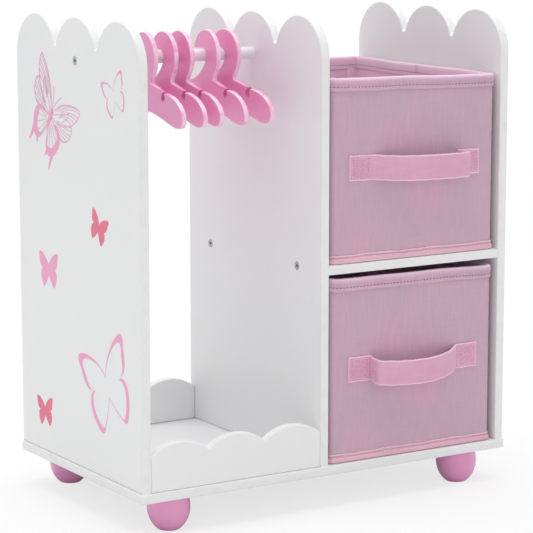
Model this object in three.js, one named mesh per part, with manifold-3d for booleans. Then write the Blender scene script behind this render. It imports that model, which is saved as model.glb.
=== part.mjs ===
// Doll wardrobe: an open hanging bay with five hangers, beside two pull-out fabric bins.
// Millimetres, +Z up, front towards -Y. The origin lies on the floor under the middle of the whole.
// Inside the main group, x starts at the left side's outer face, y at the front edges of the
// upright boards, and z at the underside of the base board.

import * as THREE from 'three';
import { mergeVertices } from 'three/addons/utils/BufferGeometryUtils.js';
import Module from 'manifold-3d';

const wasm = await Module();
wasm.setup();

// Boards
const boardThickness = 9.5;
const hangingBayWidth = 188.7;
const binBayWidth = 204.9;
const caseDepth = 254;
const panelHeight = 439.1;
const panelLobeCount = 3;
const panelValleyRadius = 2.8;
const baseOverhang = 1.6;
const baseCornerRadius = 3;
const edgeRound = 1.5;
const shelfHeight = 189.1;
const shelfSetback = 1;

// Scalloped rails that close the foot of the hanging bay
const footRailHeight = 46.3;
const footRailLobeCount = 3;
const footRailLobeRadius = 50;
const footRailValleyRadius = 3;

// Hanging rail
const railRadius = 6;
const railDrop = 41.7;

// Ball feet
const footRadius = 20.8;
const footHeight = 34;
const footWidestHeight = 22;
const footPadRadius = 10.2;
const footInsetX = 41;
const footInsetY = 24;
const studRadius = 3;
const studInBase = 6.5;
const studInFoot = 14;

// Screws
const screwLength = 32;
const screwShankRadius = 2.1;
const screwTipLength = 3;
const screwHeadRadius = 4;
const screwHeadDepth = 2.6;
const screwSocketRadius = 1.7;
const screwSocketDepth = 1.5;
const shelfScrewInset = 43.5;
const baseScrewInset = 62;
const footRailScrewInset = 47;

// Hangers
const hangerThickness = 5;
const hangerHalfSpan = 87;
const hangerHeight = 87.6;
const hangerEdgeRound = 0.9;
const hookRadius = 25.2;
const hookForward = 4;
const shoulderDrop = 24.4;
const shoulderReach = 23.5;
const hangerArch = 12.4;
const notchRadius = 3.4;
const notchMouth = 3.2;
const notchRise = 5;
const notchReach = 46.8;
const notchDepth = 10.8;
const notchLean = 0.3;
// Where each hanger hangs, as a share of the bay's width, and its turn about the upright in radians
const hangerStationShares = [0.342, 0.458, 0.5505, 0.714, 0.8245];
const hangerTurns = [-0.045, -0.03, -0.02, -0.065, 0.035];

// Fabric bins
const binHeadroom = 10.1;
const binSideGap = 2.95;
const binSetback = 1;
const binBackGap = 3;
const binCornerRadius = 5;
const binWall = 2.2;
const binFloor = 2;
const hemHeight = 12.5;
const hemThickness = 0.8;
const pipingHeight = 7.5;
const insertThickness = 2;
const insertClearance = 1.2;
const strapSpan = 156;
const strapWidth = 24;
const strapThickness = 1.6;
const strapPatchLength = 26;
const strapReach = 19;
const strapCurvePower = 2.6;

// Fits between pieces
const fitGap = 0.3;
const overrun = 5;

// Fineness of the round surfaces
const railSteps = 24;
const footSteps = 20;
const footRings = 7;
const screwSteps = 10;
const panelLobeSteps = 14;
const footRailLobeSteps = 8;
const valleySteps = 4;
const hookSteps = 16;
const notchSteps = 8;
const neckSteps = 3;
const hangerCurveSteps = 5;
const cornerSteps = 2;
const strapSteps = 16;

// Sizes that follow
const leftInner = boardThickness;
const dividerLeft = leftInner + hangingBayWidth;
const dividerRight = dividerLeft + boardThickness;
const rightInner = dividerRight + binBayWidth;
const caseWidth = rightInner + boardThickness;
const boardTop = boardThickness;
const railHeight = boardTop + panelHeight - railDrop;
const shelfBottom = boardTop + shelfHeight;
const shelfTop = shelfBottom + boardThickness;
const binHeight = shelfHeight - binHeadroom;
const binWidth = binBayWidth - 2 * binSideGap;
const seatRadius = railRadius + fitGap;
const hemStand = fitGap + hemThickness;
const shellWidth = binWidth - 2 * hemStand;
const shellDepth = caseDepth - binSetback - binBackGap - 2 * hemStand;
const binFrontWall = binSetback + hemStand;

const finishes = {
  paint: { color: '#f1f1f0', roughness: 0.42, metalness: 0 },
  hangerPlastic: { color: '#df8fbb', roughness: 0.34, metalness: 0 },
  footLacquer: { color: '#d684b2', roughness: 0.28, metalness: 0 },
  binCloth: { color: '#cfa3bb', roughness: 0.9, metalness: 0 },
  binBinding: { color: '#dfa9c5', roughness: 0.85, metalness: 0 },
  strapCloth: { color: '#e3a9c0', roughness: 0.88, metalness: 0 },
  greyBoard: { color: '#b9b2ab', roughness: 0.95, metalness: 0 },
  steel: { color: '#8b8d91', roughness: 0.35, metalness: 1 },
};

const wardrobe = new THREE.Group();

function addPiece(name, finish, geometry, place, turn = [0, 0, 0], parent = wardrobe) {
  const faces = geometry.toNonIndexed();
  faces.computeVertexNormals();
  const mesh = new THREE.Mesh(faces, new THREE.MeshStandardMaterial(finishes[finish]));
  mesh.name = name;
  mesh.position.set(...place);
  mesh.rotation.set(...turn);
  parent.add(mesh);
  return mesh;
}

// A closed mesh with shared corners, without the slivers at a turned shape's poles.
function welded(geometry) {
  const bare = geometry.clone();
  bare.deleteAttribute('normal');
  bare.deleteAttribute('uv');
  const merged = mergeVertices(bare);
  const corners = [];
  for (let i = 0; i < merged.index.count; i += 3) {
    const [a, b, c] = [merged.index.getX(i), merged.index.getX(i + 1), merged.index.getX(i + 2)];
    if (a !== b && b !== c && c !== a) {
      corners.push(a, b, c);
    }
  }
  merged.setIndex(corners);
  return merged;
}

function toSolid(geometry) {
  const mesh = new wasm.Mesh({
    numProp: 3,
    vertProperties: new Float32Array(geometry.attributes.position.array),
    triVerts: new Uint32Array(geometry.index.array),
  });
  return new wasm.Manifold(mesh);
}

function cutFrom(geometry, cutters) {
  let solid = toSolid(geometry);
  for (const cutter of cutters) {
    solid = solid.subtract(toSolid(cutter));
  }
  const mesh = solid.getMesh();
  const result = new THREE.BufferGeometry();
  result.setAttribute('position', new THREE.BufferAttribute(mesh.vertProperties, 3));
  result.setIndex(new THREE.BufferAttribute(mesh.triVerts, 1));
  return result;
}

// A profile of [radius, height] points from axis to axis, turned about +Z.
function turned(profile, steps) {
  const points = profile.map(([radius, height]) => new THREE.Vector2(radius, height));
  return welded(new THREE.LatheGeometry(points, steps)).rotateX(Math.PI / 2);
}

// Points along an arc, from one angle to the other, both ends included.
function arcPoints(x, y, radius, from, to, steps) {
  return Array.from({ length: steps + 1 }, (_, i) => {
    const angle = from + (to - from) * (i / steps);
    return new THREE.Vector2(x + radius * Math.cos(angle), y + radius * Math.sin(angle));
  });
}

// An outline raised to a thickness, with its long edges rounded inside the outline.
function roundedBoard(outline, thickness, round = edgeRound, roundCuts = 2) {
  const raised = new THREE.ExtrudeGeometry(outline, {
    depth: thickness - 2 * round,
    curveSegments: cornerSteps,
    bevelEnabled: true,
    bevelThickness: round,
    bevelSize: round,
    bevelOffset: -round,
    bevelSegments: roundCuts,
  });
  return welded(raised).translate(0, 0, round);
}

function plainExtrusion(outline, height) {
  const options = { depth: height, curveSegments: cornerSteps, bevelEnabled: false };
  return welded(new THREE.ExtrudeGeometry(outline, options));
}

// Outlines drawn as (x, y) stand up as (y, z) for the side boards or as (x, z) for the rails.
const standAcross = new THREE.Matrix4().makeBasis(
  new THREE.Vector3(0, 1, 0),
  new THREE.Vector3(0, 0, 1),
  new THREE.Vector3(1, 0, 0),
);
const standAlong = new THREE.Matrix4().makeBasis(
  new THREE.Vector3(1, 0, 0),
  new THREE.Vector3(0, 0, 1),
  new THREE.Vector3(0, -1, 0),
);

function box(low, high) {
  const size = high.map((value, i) => value - low[i]);
  const middle = high.map((value, i) => (value + low[i]) / 2);
  return welded(new THREE.BoxGeometry(...size)).translate(...middle);
}

function roundedRectangle(width, depth, radius) {
  const shape = new THREE.Shape();
  const x = width / 2 - radius;
  const y = depth / 2 - radius;
  shape.absarc(x, y, radius, 0, Math.PI / 2, false);
  shape.absarc(-x, y, radius, Math.PI / 2, Math.PI, false);
  shape.absarc(-x, -y, radius, Math.PI, 1.5 * Math.PI, false);
  shape.absarc(x, -y, radius, 1.5 * Math.PI, 2 * Math.PI, false);
  shape.closePath();
  return shape;
}

// A board outline whose top edge is a row of round lobes, each tangent to small valley arcs.
// The end lobes run straight into the board's ends. Runs past the ends and the foot are trimmed later.
function lobedOutline({ length, height, count, lobeRadius, lobeSteps, valleyRadius, endRun, footRun }) {
  const pitch = length / count;
  const centreHeight = height - lobeRadius;
  const reach = lobeRadius + valleyRadius;
  const valleyRise = Math.sqrt(reach ** 2 - (pitch / 2) ** 2);
  const valleyAngle = Math.atan2(valleyRise, pitch / 2);
  const endAngle = Math.acos(Math.min(1, pitch / (2 * lobeRadius)));
  const points = [new THREE.Vector2(length + endRun, -footRun), new THREE.Vector2(-endRun, -footRun)];
  if (endRun > 0) {
    points.push(new THREE.Vector2(-endRun, centreHeight + lobeRadius * Math.sin(endAngle)));
  }
  for (let i = 0; i < count; i += 1) {
    const middle = (i + 0.5) * pitch;
    const start = Math.PI - (i === 0 ? endAngle : valleyAngle);
    const stop = i === count - 1 ? endAngle : valleyAngle;
    points.push(...arcPoints(middle, centreHeight, lobeRadius, start, stop, lobeSteps));
    if (i < count - 1) {
      const [x, y] = [middle + pitch / 2, centreHeight + valleyRise];
      const [from, to] = [Math.PI + valleyAngle, 2 * Math.PI - valleyAngle];
      points.push(...arcPoints(x, y, valleyRadius, from, to, valleySteps).slice(1, -1));
    }
  }
  if (endRun > 0) {
    points.push(new THREE.Vector2(length + endRun, centreHeight + lobeRadius * Math.sin(endAngle)));
  }
  return new THREE.Shape(points);
}

// Screws: the head's face is at zero and the shank runs along +Z. Room is the clearance round it.
function screwProfile(room) {
  const shank = screwShankRadius + room;
  const head = screwHeadRadius + room;
  return [
    [0, screwLength + room],
    [shank, screwLength - screwTipLength + room],
    [shank, screwHeadDepth + room],
    [head, screwHeadDepth + room],
  ];
}

function screwBody() {
  const rim = [
    [screwHeadRadius, 0],
    [screwSocketRadius, 0],
    [screwSocketRadius, screwSocketDepth],
    [0, screwSocketDepth],
  ];
  return turned([...screwProfile(0), ...rim].reverse(), screwSteps);
}

function screwDrilling() {
  const mouth = [
    [screwHeadRadius + fitGap, -overrun],
    [0, -overrun],
  ];
  return turned([...screwProfile(fitGap), ...mouth].reverse(), screwSteps);
}

const driveRight = [0, Math.PI / 2, 0];
const driveLeft = [0, -Math.PI / 2, 0];
const driveUp = [0, 0, 0];
const boardMiddle = boardThickness / 2;
const shelfMiddle = shelfBottom + boardMiddle;
const screws = [
  { name: 'hanging_rail_screw_left', place: [0, caseDepth / 2, railHeight], drive: driveRight },
  { name: 'hanging_rail_screw_right', place: [dividerRight, caseDepth / 2, railHeight], drive: driveLeft },
];
for (const [end, y] of [['front', shelfScrewInset], ['back', caseDepth - shelfScrewInset]]) {
  screws.push({ name: `shelf_screw_left_${end}`, place: [dividerLeft, y, shelfMiddle], drive: driveRight });
  screws.push({ name: `shelf_screw_right_${end}`, place: [caseWidth, y, shelfMiddle], drive: driveLeft });
}
for (const [side, x] of [['left', 0], ['divider', dividerLeft], ['right', rightInner]]) {
  for (const [end, y] of [['front', baseScrewInset], ['back', caseDepth - baseScrewInset]]) {
    screws.push({ name: `base_screw_${side}_${end}`, place: [x + boardMiddle, y, 0], drive: driveUp });
  }
}
const footRailScrewSides = [
  ['left', leftInner + footRailScrewInset],
  ['right', dividerLeft - footRailScrewInset],
];
for (const [end, y] of [['front', boardMiddle], ['back', caseDepth - boardMiddle]]) {
  for (const [side, x] of footRailScrewSides) {
    screws.push({ name: `foot_rail_screw_${end}_${side}`, place: [x, y, 0], drive: driveUp });
  }
}

// Ball feet on threaded studs
const feet = [];
for (const [end, y] of [['front', footInsetY], ['back', caseDepth - footInsetY]]) {
  for (const [side, x] of [['left', footInsetX], ['right', caseWidth - footInsetX]]) {
    feet.push({ corner: `${end}_${side}`, place: [x, y, 0] });
  }
}

function studShape(room) {
  const radius = studRadius + room;
  const low = -studInFoot - room;
  const high = studInBase + room;
  return turned([[0, low], [radius, low], [radius, high], [0, high]], screwSteps);
}

// An egg-shaped ball, widest above its middle and cut flat where it meets the base and where it stands.
// Half its whole height follows from the pad, where the oval has narrowed to the pad's radius.
function footBody() {
  const centre = footWidestHeight - footHeight;
  const padAngle = -Math.acos(footPadRadius / footRadius);
  const halfHeight = footWidestHeight / Math.sin(-padAngle);
  const topAngle = Math.asin(-centre / halfHeight);
  const profile = [[0, -footHeight]];
  for (let i = 0; i <= footRings; i += 1) {
    const angle = padAngle + (topAngle - padAngle) * (i / footRings);
    profile.push([footRadius * Math.cos(angle), centre + halfHeight * Math.sin(angle)]);
  }
  profile.push([0, 0]);
  return turned(profile, footSteps);
}

// Every board, rail and foot is drilled by each screw and stud that reaches into it.
const drillings = [];
for (const screw of screws) {
  const turn = new THREE.Matrix4().makeRotationFromEuler(new THREE.Euler(...screw.drive));
  drillings.push(screwDrilling().applyMatrix4(turn).translate(...screw.place));
}
for (const foot of feet) {
  drillings.push(studShape(fitGap).translate(...foot.place));
}

function drilled(geometry, place, trims = []) {
  const back = place.map((value) => -value);
  const cutters = drillings.map((drilling) => drilling.clone().translate(...back));
  return cutFrom(geometry, [...cutters, ...trims]);
}

// Case boards
function baseBoard() {
  const outline = roundedRectangle(
    caseWidth + 2 * baseOverhang, caseDepth + 2 * baseOverhang, baseCornerRadius,
  );
  return roundedBoard(outline, boardThickness);
}

function uprightPanel() {
  const outline = lobedOutline({
    length: caseDepth,
    height: panelHeight,
    count: panelLobeCount,
    lobeRadius: caseDepth / (2 * panelLobeCount),
    lobeSteps: panelLobeSteps,
    valleyRadius: panelValleyRadius,
    endRun: 0,
    footRun: edgeRound,
  });
  return roundedBoard(outline, boardThickness).applyMatrix4(standAcross);
}

const panelTrim = box(
  [-overrun, -overrun, -overrun],
  [boardThickness + overrun, caseDepth + overrun, 0],
);

function binShelf() {
  const outline = roundedRectangle(
    binBayWidth + 2 * baseCornerRadius, caseDepth - 2 * shelfSetback, baseCornerRadius,
  );
  return roundedBoard(outline, boardThickness).translate(binBayWidth / 2, caseDepth / 2, 0);
}

function endTrims(length) {
  const low = [-overrun, -overrun, -overrun];
  const high = [length + overrun, caseDepth + overrun, footRailHeight + overrun];
  return [box(low, [0, high[1], high[2]]), box([length, low[1], low[2]], high)];
}

function footRail() {
  const outline = lobedOutline({
    length: hangingBayWidth,
    height: footRailHeight,
    count: footRailLobeCount,
    lobeRadius: footRailLobeRadius,
    lobeSteps: footRailLobeSteps,
    valleyRadius: footRailValleyRadius,
    endRun: edgeRound,
    footRun: edgeRound,
  });
  return roundedBoard(outline, boardThickness).applyMatrix4(standAlong);
}

const footRailTrims = [
  ...endTrims(hangingBayWidth).map((trim) => trim.translate(0, -boardThickness, 0)),
  box([-overrun, -boardThickness - overrun, -overrun], [hangingBayWidth + overrun, overrun, 0]),
];

function hangingRail() {
  const rail = welded(new THREE.CylinderGeometry(railRadius, railRadius, hangingBayWidth, railSteps));
  return rail.rotateZ(-Math.PI / 2).translate(hangingBayWidth / 2, 0, 0);
}

const baseCentre = [caseWidth / 2, caseDepth / 2, 0];
addPiece('base_board', 'paint', drilled(baseBoard(), baseCentre), baseCentre);
const uprights = [['left_side_panel', 0], ['divider_panel', dividerLeft], ['right_side_panel', rightInner]];
for (const [name, x] of uprights) {
  const place = [x, 0, boardTop];
  addPiece(name, 'paint', drilled(uprightPanel(), place, [panelTrim]), place);
}
const shelfPlace = [dividerRight, 0, shelfBottom];
addPiece('bin_shelf', 'paint', drilled(binShelf(), shelfPlace, endTrims(binBayWidth)), shelfPlace);
for (const [name, y] of [['front_foot_rail', boardThickness], ['back_foot_rail', caseDepth]]) {
  const place = [leftInner, y, boardTop];
  addPiece(name, 'paint', drilled(footRail(), place, footRailTrims), place);
}
const railPlace = [leftInner, caseDepth / 2, railHeight];
addPiece('hanging_rail', 'paint', drilled(hangingRail(), railPlace), railPlace);

for (const screw of screws) {
  addPiece(screw.name, 'steel', screwBody(), screw.place, screw.drive);
}
for (const foot of feet) {
  addPiece(`foot_${foot.corner}`, 'footLacquer', drilled(footBody(), foot.place), foot.place);
  addPiece(`foot_stud_${foot.corner}`, 'steel', studShape(0), foot.place);
}

// Hangers: drawn in a plane across the rail, about the rail's axis, with the front to the left.
// Shares of the half span and of a quarter of the body's height that steer the arm's curves.
const armTopShares = [0.78, 0.72, 1.75];
const armTipShares = [0.3, 0.96, 0.86];
const archShares = [0.7, 0.4];

// A round strap notch under the arm's top edge, with a narrow mouth that leans out from the neck.
function notchPoints() {
  const middle = new THREE.Vector2(-notchReach, -shoulderDrop - notchDepth);
  const mouthAngle = Math.PI / 2 + notchLean;
  const lipAngle = Math.asin(notchMouth / (2 * notchRadius));
  const origin = new THREE.Vector2();
  const lip = (way) => new THREE.Vector2(notchRise, way * notchMouth / 2).rotateAround(origin, mouthAngle);
  const [from, to] = [mouthAngle - lipAngle, mouthAngle + lipAngle - 2 * Math.PI];
  return [
    lip(-1).add(middle),
    ...arcPoints(middle.x, middle.y, notchRadius, from, to, notchSteps),
    lip(1).add(middle),
  ];
}

// Front half of the body, from the neck out along the arm and back to the middle of the underside.
function hangerFrontHalf() {
  const lowest = hookRadius - hangerHeight;
  const underside = lowest + hangerArch;
  const armDrop = (-lowest - shoulderDrop) / 4;
  const notch = notchPoints();
  const lip = notch[notch.length - 1];
  const top = new THREE.CubicBezierCurve(
    lip,
    new THREE.Vector2(-hangerHalfSpan * armTopShares[0], -shoulderDrop - armDrop * armTopShares[1]),
    new THREE.Vector2(-hangerHalfSpan, -shoulderDrop - armDrop * armTopShares[2]),
    new THREE.Vector2(-hangerHalfSpan, lowest + armDrop),
  );
  const tip = new THREE.CubicBezierCurve(
    top.v3,
    new THREE.Vector2(-hangerHalfSpan, lowest + armDrop * armTipShares[0]),
    new THREE.Vector2(-hangerHalfSpan * armTipShares[1], lowest),
    new THREE.Vector2(-hangerHalfSpan * armTipShares[2], lowest),
  );
  const arch = new THREE.CubicBezierCurve(
    tip.v3,
    new THREE.Vector2(-hangerHalfSpan * archShares[0], lowest),
    new THREE.Vector2(-hangerHalfSpan * archShares[1], underside),
    new THREE.Vector2(0, underside),
  );
  const curves = [top, tip, arch].flatMap((curve) => curve.getPoints(hangerCurveSteps).slice(1));
  return [new THREE.Vector2(-shoulderReach, -shoulderDrop), ...notch, ...curves];
}

// Where the hook's outer arc leaves its circle, and where the throat meets the rail, in radians.
const hookEndAngle = 3.92;
const throatAngle = 3.58;
const neckShares = [0.76, 0.98];
const throatShares = [0.52, 0.93, 0.45, 0.45];

function hangerOutline() {
  const front = hangerFrontHalf();
  const rear = front.slice(1, -1).reverse().map((point) => new THREE.Vector2(-point.x, point.y));
  const tipAngle = Math.asin(seatRadius / hookRadius);
  const hook = arcPoints(-hookForward, 0, hookRadius, tipAngle, hookEndAngle, hookSteps);
  const neck = new THREE.QuadraticBezierCurve(
    hook[hook.length - 1],
    new THREE.Vector2(-shoulderReach * neckShares[0], -shoulderDrop * neckShares[1]),
    front[0],
  );
  const throat = new THREE.CubicBezierCurve(
    new THREE.Vector2(shoulderReach, -shoulderDrop),
    new THREE.Vector2(shoulderReach * throatShares[0], -shoulderDrop * throatShares[1]),
    new THREE.Vector2(-seatRadius * throatShares[2], -shoulderDrop * throatShares[3]),
    new THREE.Vector2(seatRadius * Math.cos(throatAngle), seatRadius * Math.sin(throatAngle)),
  );
  const points = [
    ...hook,
    ...neck.getPoints(neckSteps).slice(1, -1),
    ...front,
    ...rear,
    ...throat.getPoints(hangerCurveSteps).slice(0, -1),
    ...arcPoints(0, 0, seatRadius, throatAngle, Math.PI / 2, hangerCurveSteps),
  ];
  return new THREE.Shape(points);
}

function hangerBody() {
  const body = roundedBoard(hangerOutline(), hangerThickness, hangerEdgeRound, 1);
  return body.translate(0, 0, -hangerThickness / 2).applyMatrix4(standAcross);
}

hangerStationShares.forEach((share, i) => {
  const place = [leftInner + hangingBayWidth * share, caseDepth / 2, railHeight];
  addPiece(`hanger_${i + 1}`, 'hangerPlastic', hangerBody(), place, [0, 0, hangerTurns[i]]);
});

// Fabric bins, each drawn about the middle of its own underside
// The bin's outline from above, let out by some distance all round.
function binOutline(grow) {
  return roundedRectangle(shellWidth + 2 * grow, shellDepth + 2 * grow, binCornerRadius + grow);
}

function binShell() {
  const hollow = plainExtrusion(binOutline(-binWall), binHeight).translate(0, 0, binFloor);
  return cutFrom(plainExtrusion(binOutline(0), binHeight), [hollow]);
}

// A strip folded over the rim: an upside-down channel that runs all round.
function binHem() {
  const throughHeight = hemHeight + 2 * overrun;
  const outer = plainExtrusion(binOutline(hemStand), hemHeight);
  const mouth = plainExtrusion(binOutline(-binWall - hemStand), throughHeight).translate(0, 0, -overrun);
  const grooveOuter = plainExtrusion(binOutline(fitGap), hemHeight - hemThickness + overrun);
  const grooveInner = plainExtrusion(binOutline(-binWall - fitGap), throughHeight);
  const groove = cutFrom(grooveOuter, [grooveInner.translate(0, 0, -overrun)]);
  return cutFrom(outer, [mouth, groove.translate(0, 0, -overrun)]);
}

function binPiping() {
  const band = binOutline(hemStand);
  band.holes.push(binOutline(fitGap));
  return plainExtrusion(band, pipingHeight);
}

function binInsert() {
  return plainExtrusion(binOutline(-binWall - insertClearance), insertThickness);
}

// The strap's middle line: flat patches at the ends, and a rounded loop that stands off the front.
function strapLine() {
  const lie = -fitGap - strapThickness / 2;
  const loopHalf = strapSpan / 2 - strapPatchLength;
  const loopOut = strapReach - fitGap - strapThickness;
  const points = [new THREE.Vector2(-strapSpan / 2, lie)];
  for (let i = 0; i <= strapSteps; i += 1) {
    const angle = Math.PI * (1 - i / strapSteps);
    const along = Math.sign(Math.cos(angle)) * Math.abs(Math.cos(angle)) ** (2 / strapCurvePower);
    const out = Math.abs(Math.sin(angle)) ** (2 / strapCurvePower);
    const rise = i === 0 || i === strapSteps ? 0 : out;
    points.push(new THREE.Vector2(loopHalf * along, lie - loopOut * rise));
  }
  points.push(new THREE.Vector2(strapSpan / 2, lie));
  return points;
}

// Both faces of a strip that follows a line, with mitred corners.
function stripOutline(line, thickness) {
  const normals = line.map((point, i) => {
    const before = point.clone().sub(line[Math.max(i - 1, 0)]);
    const after = line[Math.min(i + 1, line.length - 1)].clone().sub(point);
    const ways = [before, after].filter((way) => way.length() > 0).map((way) => way.normalize());
    const turns = ways.map((way) => new THREE.Vector2(-way.y, way.x));
    const first = turns[0];
    const last = turns[turns.length - 1];
    return first.clone().add(last).divideScalar(1 + first.dot(last));
  });
  const face = (way) => line.map(
    (point, i) => point.clone().addScaledVector(normals[i], way * thickness / 2),
  );
  return new THREE.Shape([...face(-1), ...face(1).reverse()]);
}

function binStrap() {
  return plainExtrusion(stripOutline(strapLine(), strapThickness), strapWidth);
}

function addBin(name, floorHeight) {
  const bin = new THREE.Group();
  bin.position.set(
    (dividerRight + rightInner) / 2,
    binFrontWall + shellDepth / 2,
    floorHeight + fitGap,
  );
  const strapHeight = (binHeight - strapWidth) / 2;
  addPiece(`${name}_shell`, 'binCloth', binShell(), [0, 0, 0], undefined, bin);
  addPiece(`${name}_hem`, 'binBinding', binHem(), [0, 0, binHeight + hemStand - hemHeight], undefined, bin);
  addPiece(`${name}_piping`, 'binBinding', binPiping(), [0, 0, 0], undefined, bin);
  addPiece(`${name}_floor_insert`, 'greyBoard', binInsert(), [0, 0, binFloor + fitGap], undefined, bin);
  addPiece(`${name}_strap`, 'strapCloth', binStrap(), [0, -shellDepth / 2, strapHeight], undefined, bin);
  wardrobe.add(bin);
}

addBin('lower_bin', boardTop);
addBin('upper_bin', shelfTop);

const frontReach = strapReach - binFrontWall;
const backReach = caseDepth + baseOverhang;
wardrobe.position.set(-caseWidth / 2, (frontReach - backReach) / 2, footHeight);

export default wardrobe;
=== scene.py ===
import logging
import math
from collections.abc import Sequence
from dataclasses import dataclass, field
from enum import Enum
from functools import cached_property

import bmesh
import bpy
import numpy as np
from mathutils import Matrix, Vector
from mathutils.geometry import tessellate_polygon


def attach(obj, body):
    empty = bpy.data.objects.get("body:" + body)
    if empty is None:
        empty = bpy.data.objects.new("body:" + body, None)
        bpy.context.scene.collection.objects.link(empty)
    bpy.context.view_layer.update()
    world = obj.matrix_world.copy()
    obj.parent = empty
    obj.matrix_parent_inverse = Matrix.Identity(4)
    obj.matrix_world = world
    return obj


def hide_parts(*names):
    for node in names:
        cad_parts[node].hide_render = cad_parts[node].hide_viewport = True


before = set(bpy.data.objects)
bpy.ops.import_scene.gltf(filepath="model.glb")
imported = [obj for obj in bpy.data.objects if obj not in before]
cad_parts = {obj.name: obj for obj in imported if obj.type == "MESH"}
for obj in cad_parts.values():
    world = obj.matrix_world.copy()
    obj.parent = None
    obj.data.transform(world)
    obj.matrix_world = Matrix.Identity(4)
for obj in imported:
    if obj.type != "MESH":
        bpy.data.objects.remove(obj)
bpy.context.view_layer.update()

log = logging.getLogger("wardrobe")

# Every size below is in millimetres, from the case's front left corner at the base board's
# underside, as in the part's source. Meshes are made in metres, in the row frame.
METRES = 0.001
CASE_CORNER = np.array((-0.21105, -0.11935, 0.034))

# A length under which a step has no direction, the least that a mitre's cosine term counts for,
# and how many sides a round screw hole has.
NO_LENGTH = 1e-9
LEAST_MITRE = 0.3
HOLE_STEPS = 24

QUARTER = math.pi / 2
FULL_TURN = 2 * math.pi

Colour = tuple[float, float, float]
Knots = Sequence[tuple[float, float]]


def paint_mix(red: int, green: int, blue: int) -> Colour:
    """Gives the linear colour of a screen colour.

    Args:
        red: Red from 0 to 255.
        green: Green from 0 to 255.
        blue: Blue from 0 to 255.

    Returns:
        The three linear shares, from the usual screen curve: a straight foot and a 2.4 power.
    """
    foot_end, foot_slope, lift, power = 0.04045, 12.92, 0.055, 2.4
    shares = np.array((red, green, blue)) / 255
    curved = ((shares + lift) / (1 + lift)) ** power
    return tuple(float(c) for c in np.where(shares <= foot_end, shares / foot_slope, curved))


# Surfaces


@dataclass
class Surface:
    """A mesh in the making, in millimetres in the case's frame.

    Attributes:
        points: One row of x, y, z for each point.
        faces: Point numbers of each face.
        uv: One row of u, v for each corner of each face, in metres of cloth, or None.
        flat: The numbers of the faces that are shaded flat.
        mark: How far each point is onto a rounded edge or a sewn seam, from 0 to 1, or None. In cloth
        it also paints shade in a sewn groove and a shadow line under a hem. Under zero it paints
        shade on a notch's wall in plastic, and in cloth it pales folds and woven edges, paints
        highlights on folds and paints light where shade falls inside a bin.
    """

    points: np.ndarray
    faces: list[tuple[int, ...]]
    uv: np.ndarray | None = None
    flat: list[int] = field(default_factory=list)
    mark: np.ndarray | None = None

    def moved(self, turn: np.ndarray, place: tuple[float, float, float]) -> "Surface":
        """Turns the points by a 3 by 3 matrix, then adds a place.

        Args:
            turn: The matrix, whose columns are where the old axes go.
            place: The distance moved along each axis.

        Returns:
            The same surface in its new place.
        """
        points = self.points @ np.asarray(turn, float).T + np.asarray(place, float)
        return Surface(points, self.faces, self.uv, self.flat, self.mark)


def joined(surfaces: list[Surface]) -> Surface:
    """Puts several surfaces into one mesh.

    Args:
        surfaces: The surfaces, which all have UVs or none.

    Returns:
        One surface that holds all their points and faces.
    """
    faces, flat, start, first_face = [], [], 0, 0
    for surface in surfaces:
        faces += [tuple(int(i) + start for i in face) for face in surface.faces]
        flat += [i + first_face for i in surface.flat]
        start += len(surface.points)
        first_face += len(surface.faces)
    with_uv = all(surface.uv is not None for surface in surfaces)
    uv = np.concatenate([surface.uv for surface in surfaces]) if with_uv else None
    return Surface(np.concatenate([s.points for s in surfaces]), faces, uv, flat)


def grid(points: np.ndarray, uv: np.ndarray | None = None, wrap_rows: bool = False,
         wrap_columns: bool = False) -> Surface:
    """Skins a grid of points with four-sided faces.

    Args:
        points: The points, as rows by columns by 3.
        uv: The UVs, as rows by columns by 2, with one more row or column where that wraps.
        wrap_rows: Joins the last row to the first.
        wrap_columns: Joins the last column to the first.

    Returns:
        The skinned surface.
    """
    rows, columns = points.shape[:2]
    i, j = np.meshgrid(np.arange(rows if wrap_rows else rows - 1),
                       np.arange(columns if wrap_columns else columns - 1), indexing="ij")
    below, beside = (i + 1) % rows, (j + 1) % columns
    corners = [i * columns + j, i * columns + beside, below * columns + beside, below * columns + j]
    faces = np.stack(corners, -1).reshape(-1, 4)
    corner_uv = None
    if uv is not None:
        corner_uv = np.stack([uv[i, j], uv[i, j + 1], uv[i + 1, j + 1], uv[i + 1, j]], 2).reshape(-1, 2)
    return Surface(points.reshape(-1, 3), [tuple(face) for face in faces.tolist()], corner_uv)


def arc(x: float, y: float, radius: float, start: float, stop: float, steps: int) -> np.ndarray:
    """Gives points of a circle's arc, both ends included.

    Args:
        x: Middle of the circle along the first axis.
        y: Middle of the circle along the second axis.
        radius: The circle's radius.
        start: First angle in radians.
        stop: Last angle in radians.
        steps: How many equal steps the arc is cut into.

    Returns:
        The points as rows of two: the middle plus the radius times the angle's cosine and sine.
    """
    angles = np.linspace(start, stop, steps + 1)
    return np.stack([x + radius * np.cos(angles), y + radius * np.sin(angles)], 1)


def bezier(knots: Knots, steps: int) -> np.ndarray:
    """Gives points of a Bezier curve of any degree, both ends included.

    Args:
        knots: The curve's knots, the first and last on the curve.
        steps: How many equal steps of the curve's parameter are taken.

    Returns:
        The points: at each parameter the knots weighted by the binomial terms.
    """
    t = np.linspace(0, 1, steps + 1)[:, None]
    degree = len(knots) - 1
    weights = [math.comb(degree, k) * t**k * (1 - t) ** (degree - k) for k in range(degree + 1)]
    return sum(w * np.asarray(knot, float) for w, knot in zip(weights, knots))


def chained(start: np.ndarray | tuple[float, float], curves: list[tuple[Knots, int]]) -> np.ndarray:
    """Joins Bezier curves end to end.

    Args:
        start: Where the first curve starts. Each other one starts where the last one stops.
        curves: The further knots of each curve, and its steps.

    Returns:
        The points of the whole line, both ends included.
    """
    line = np.array([start], float)
    for knots, steps in curves:
        line = np.vstack([line, bezier([line[-1], *knots], steps)[1:]])
    return line


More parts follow.
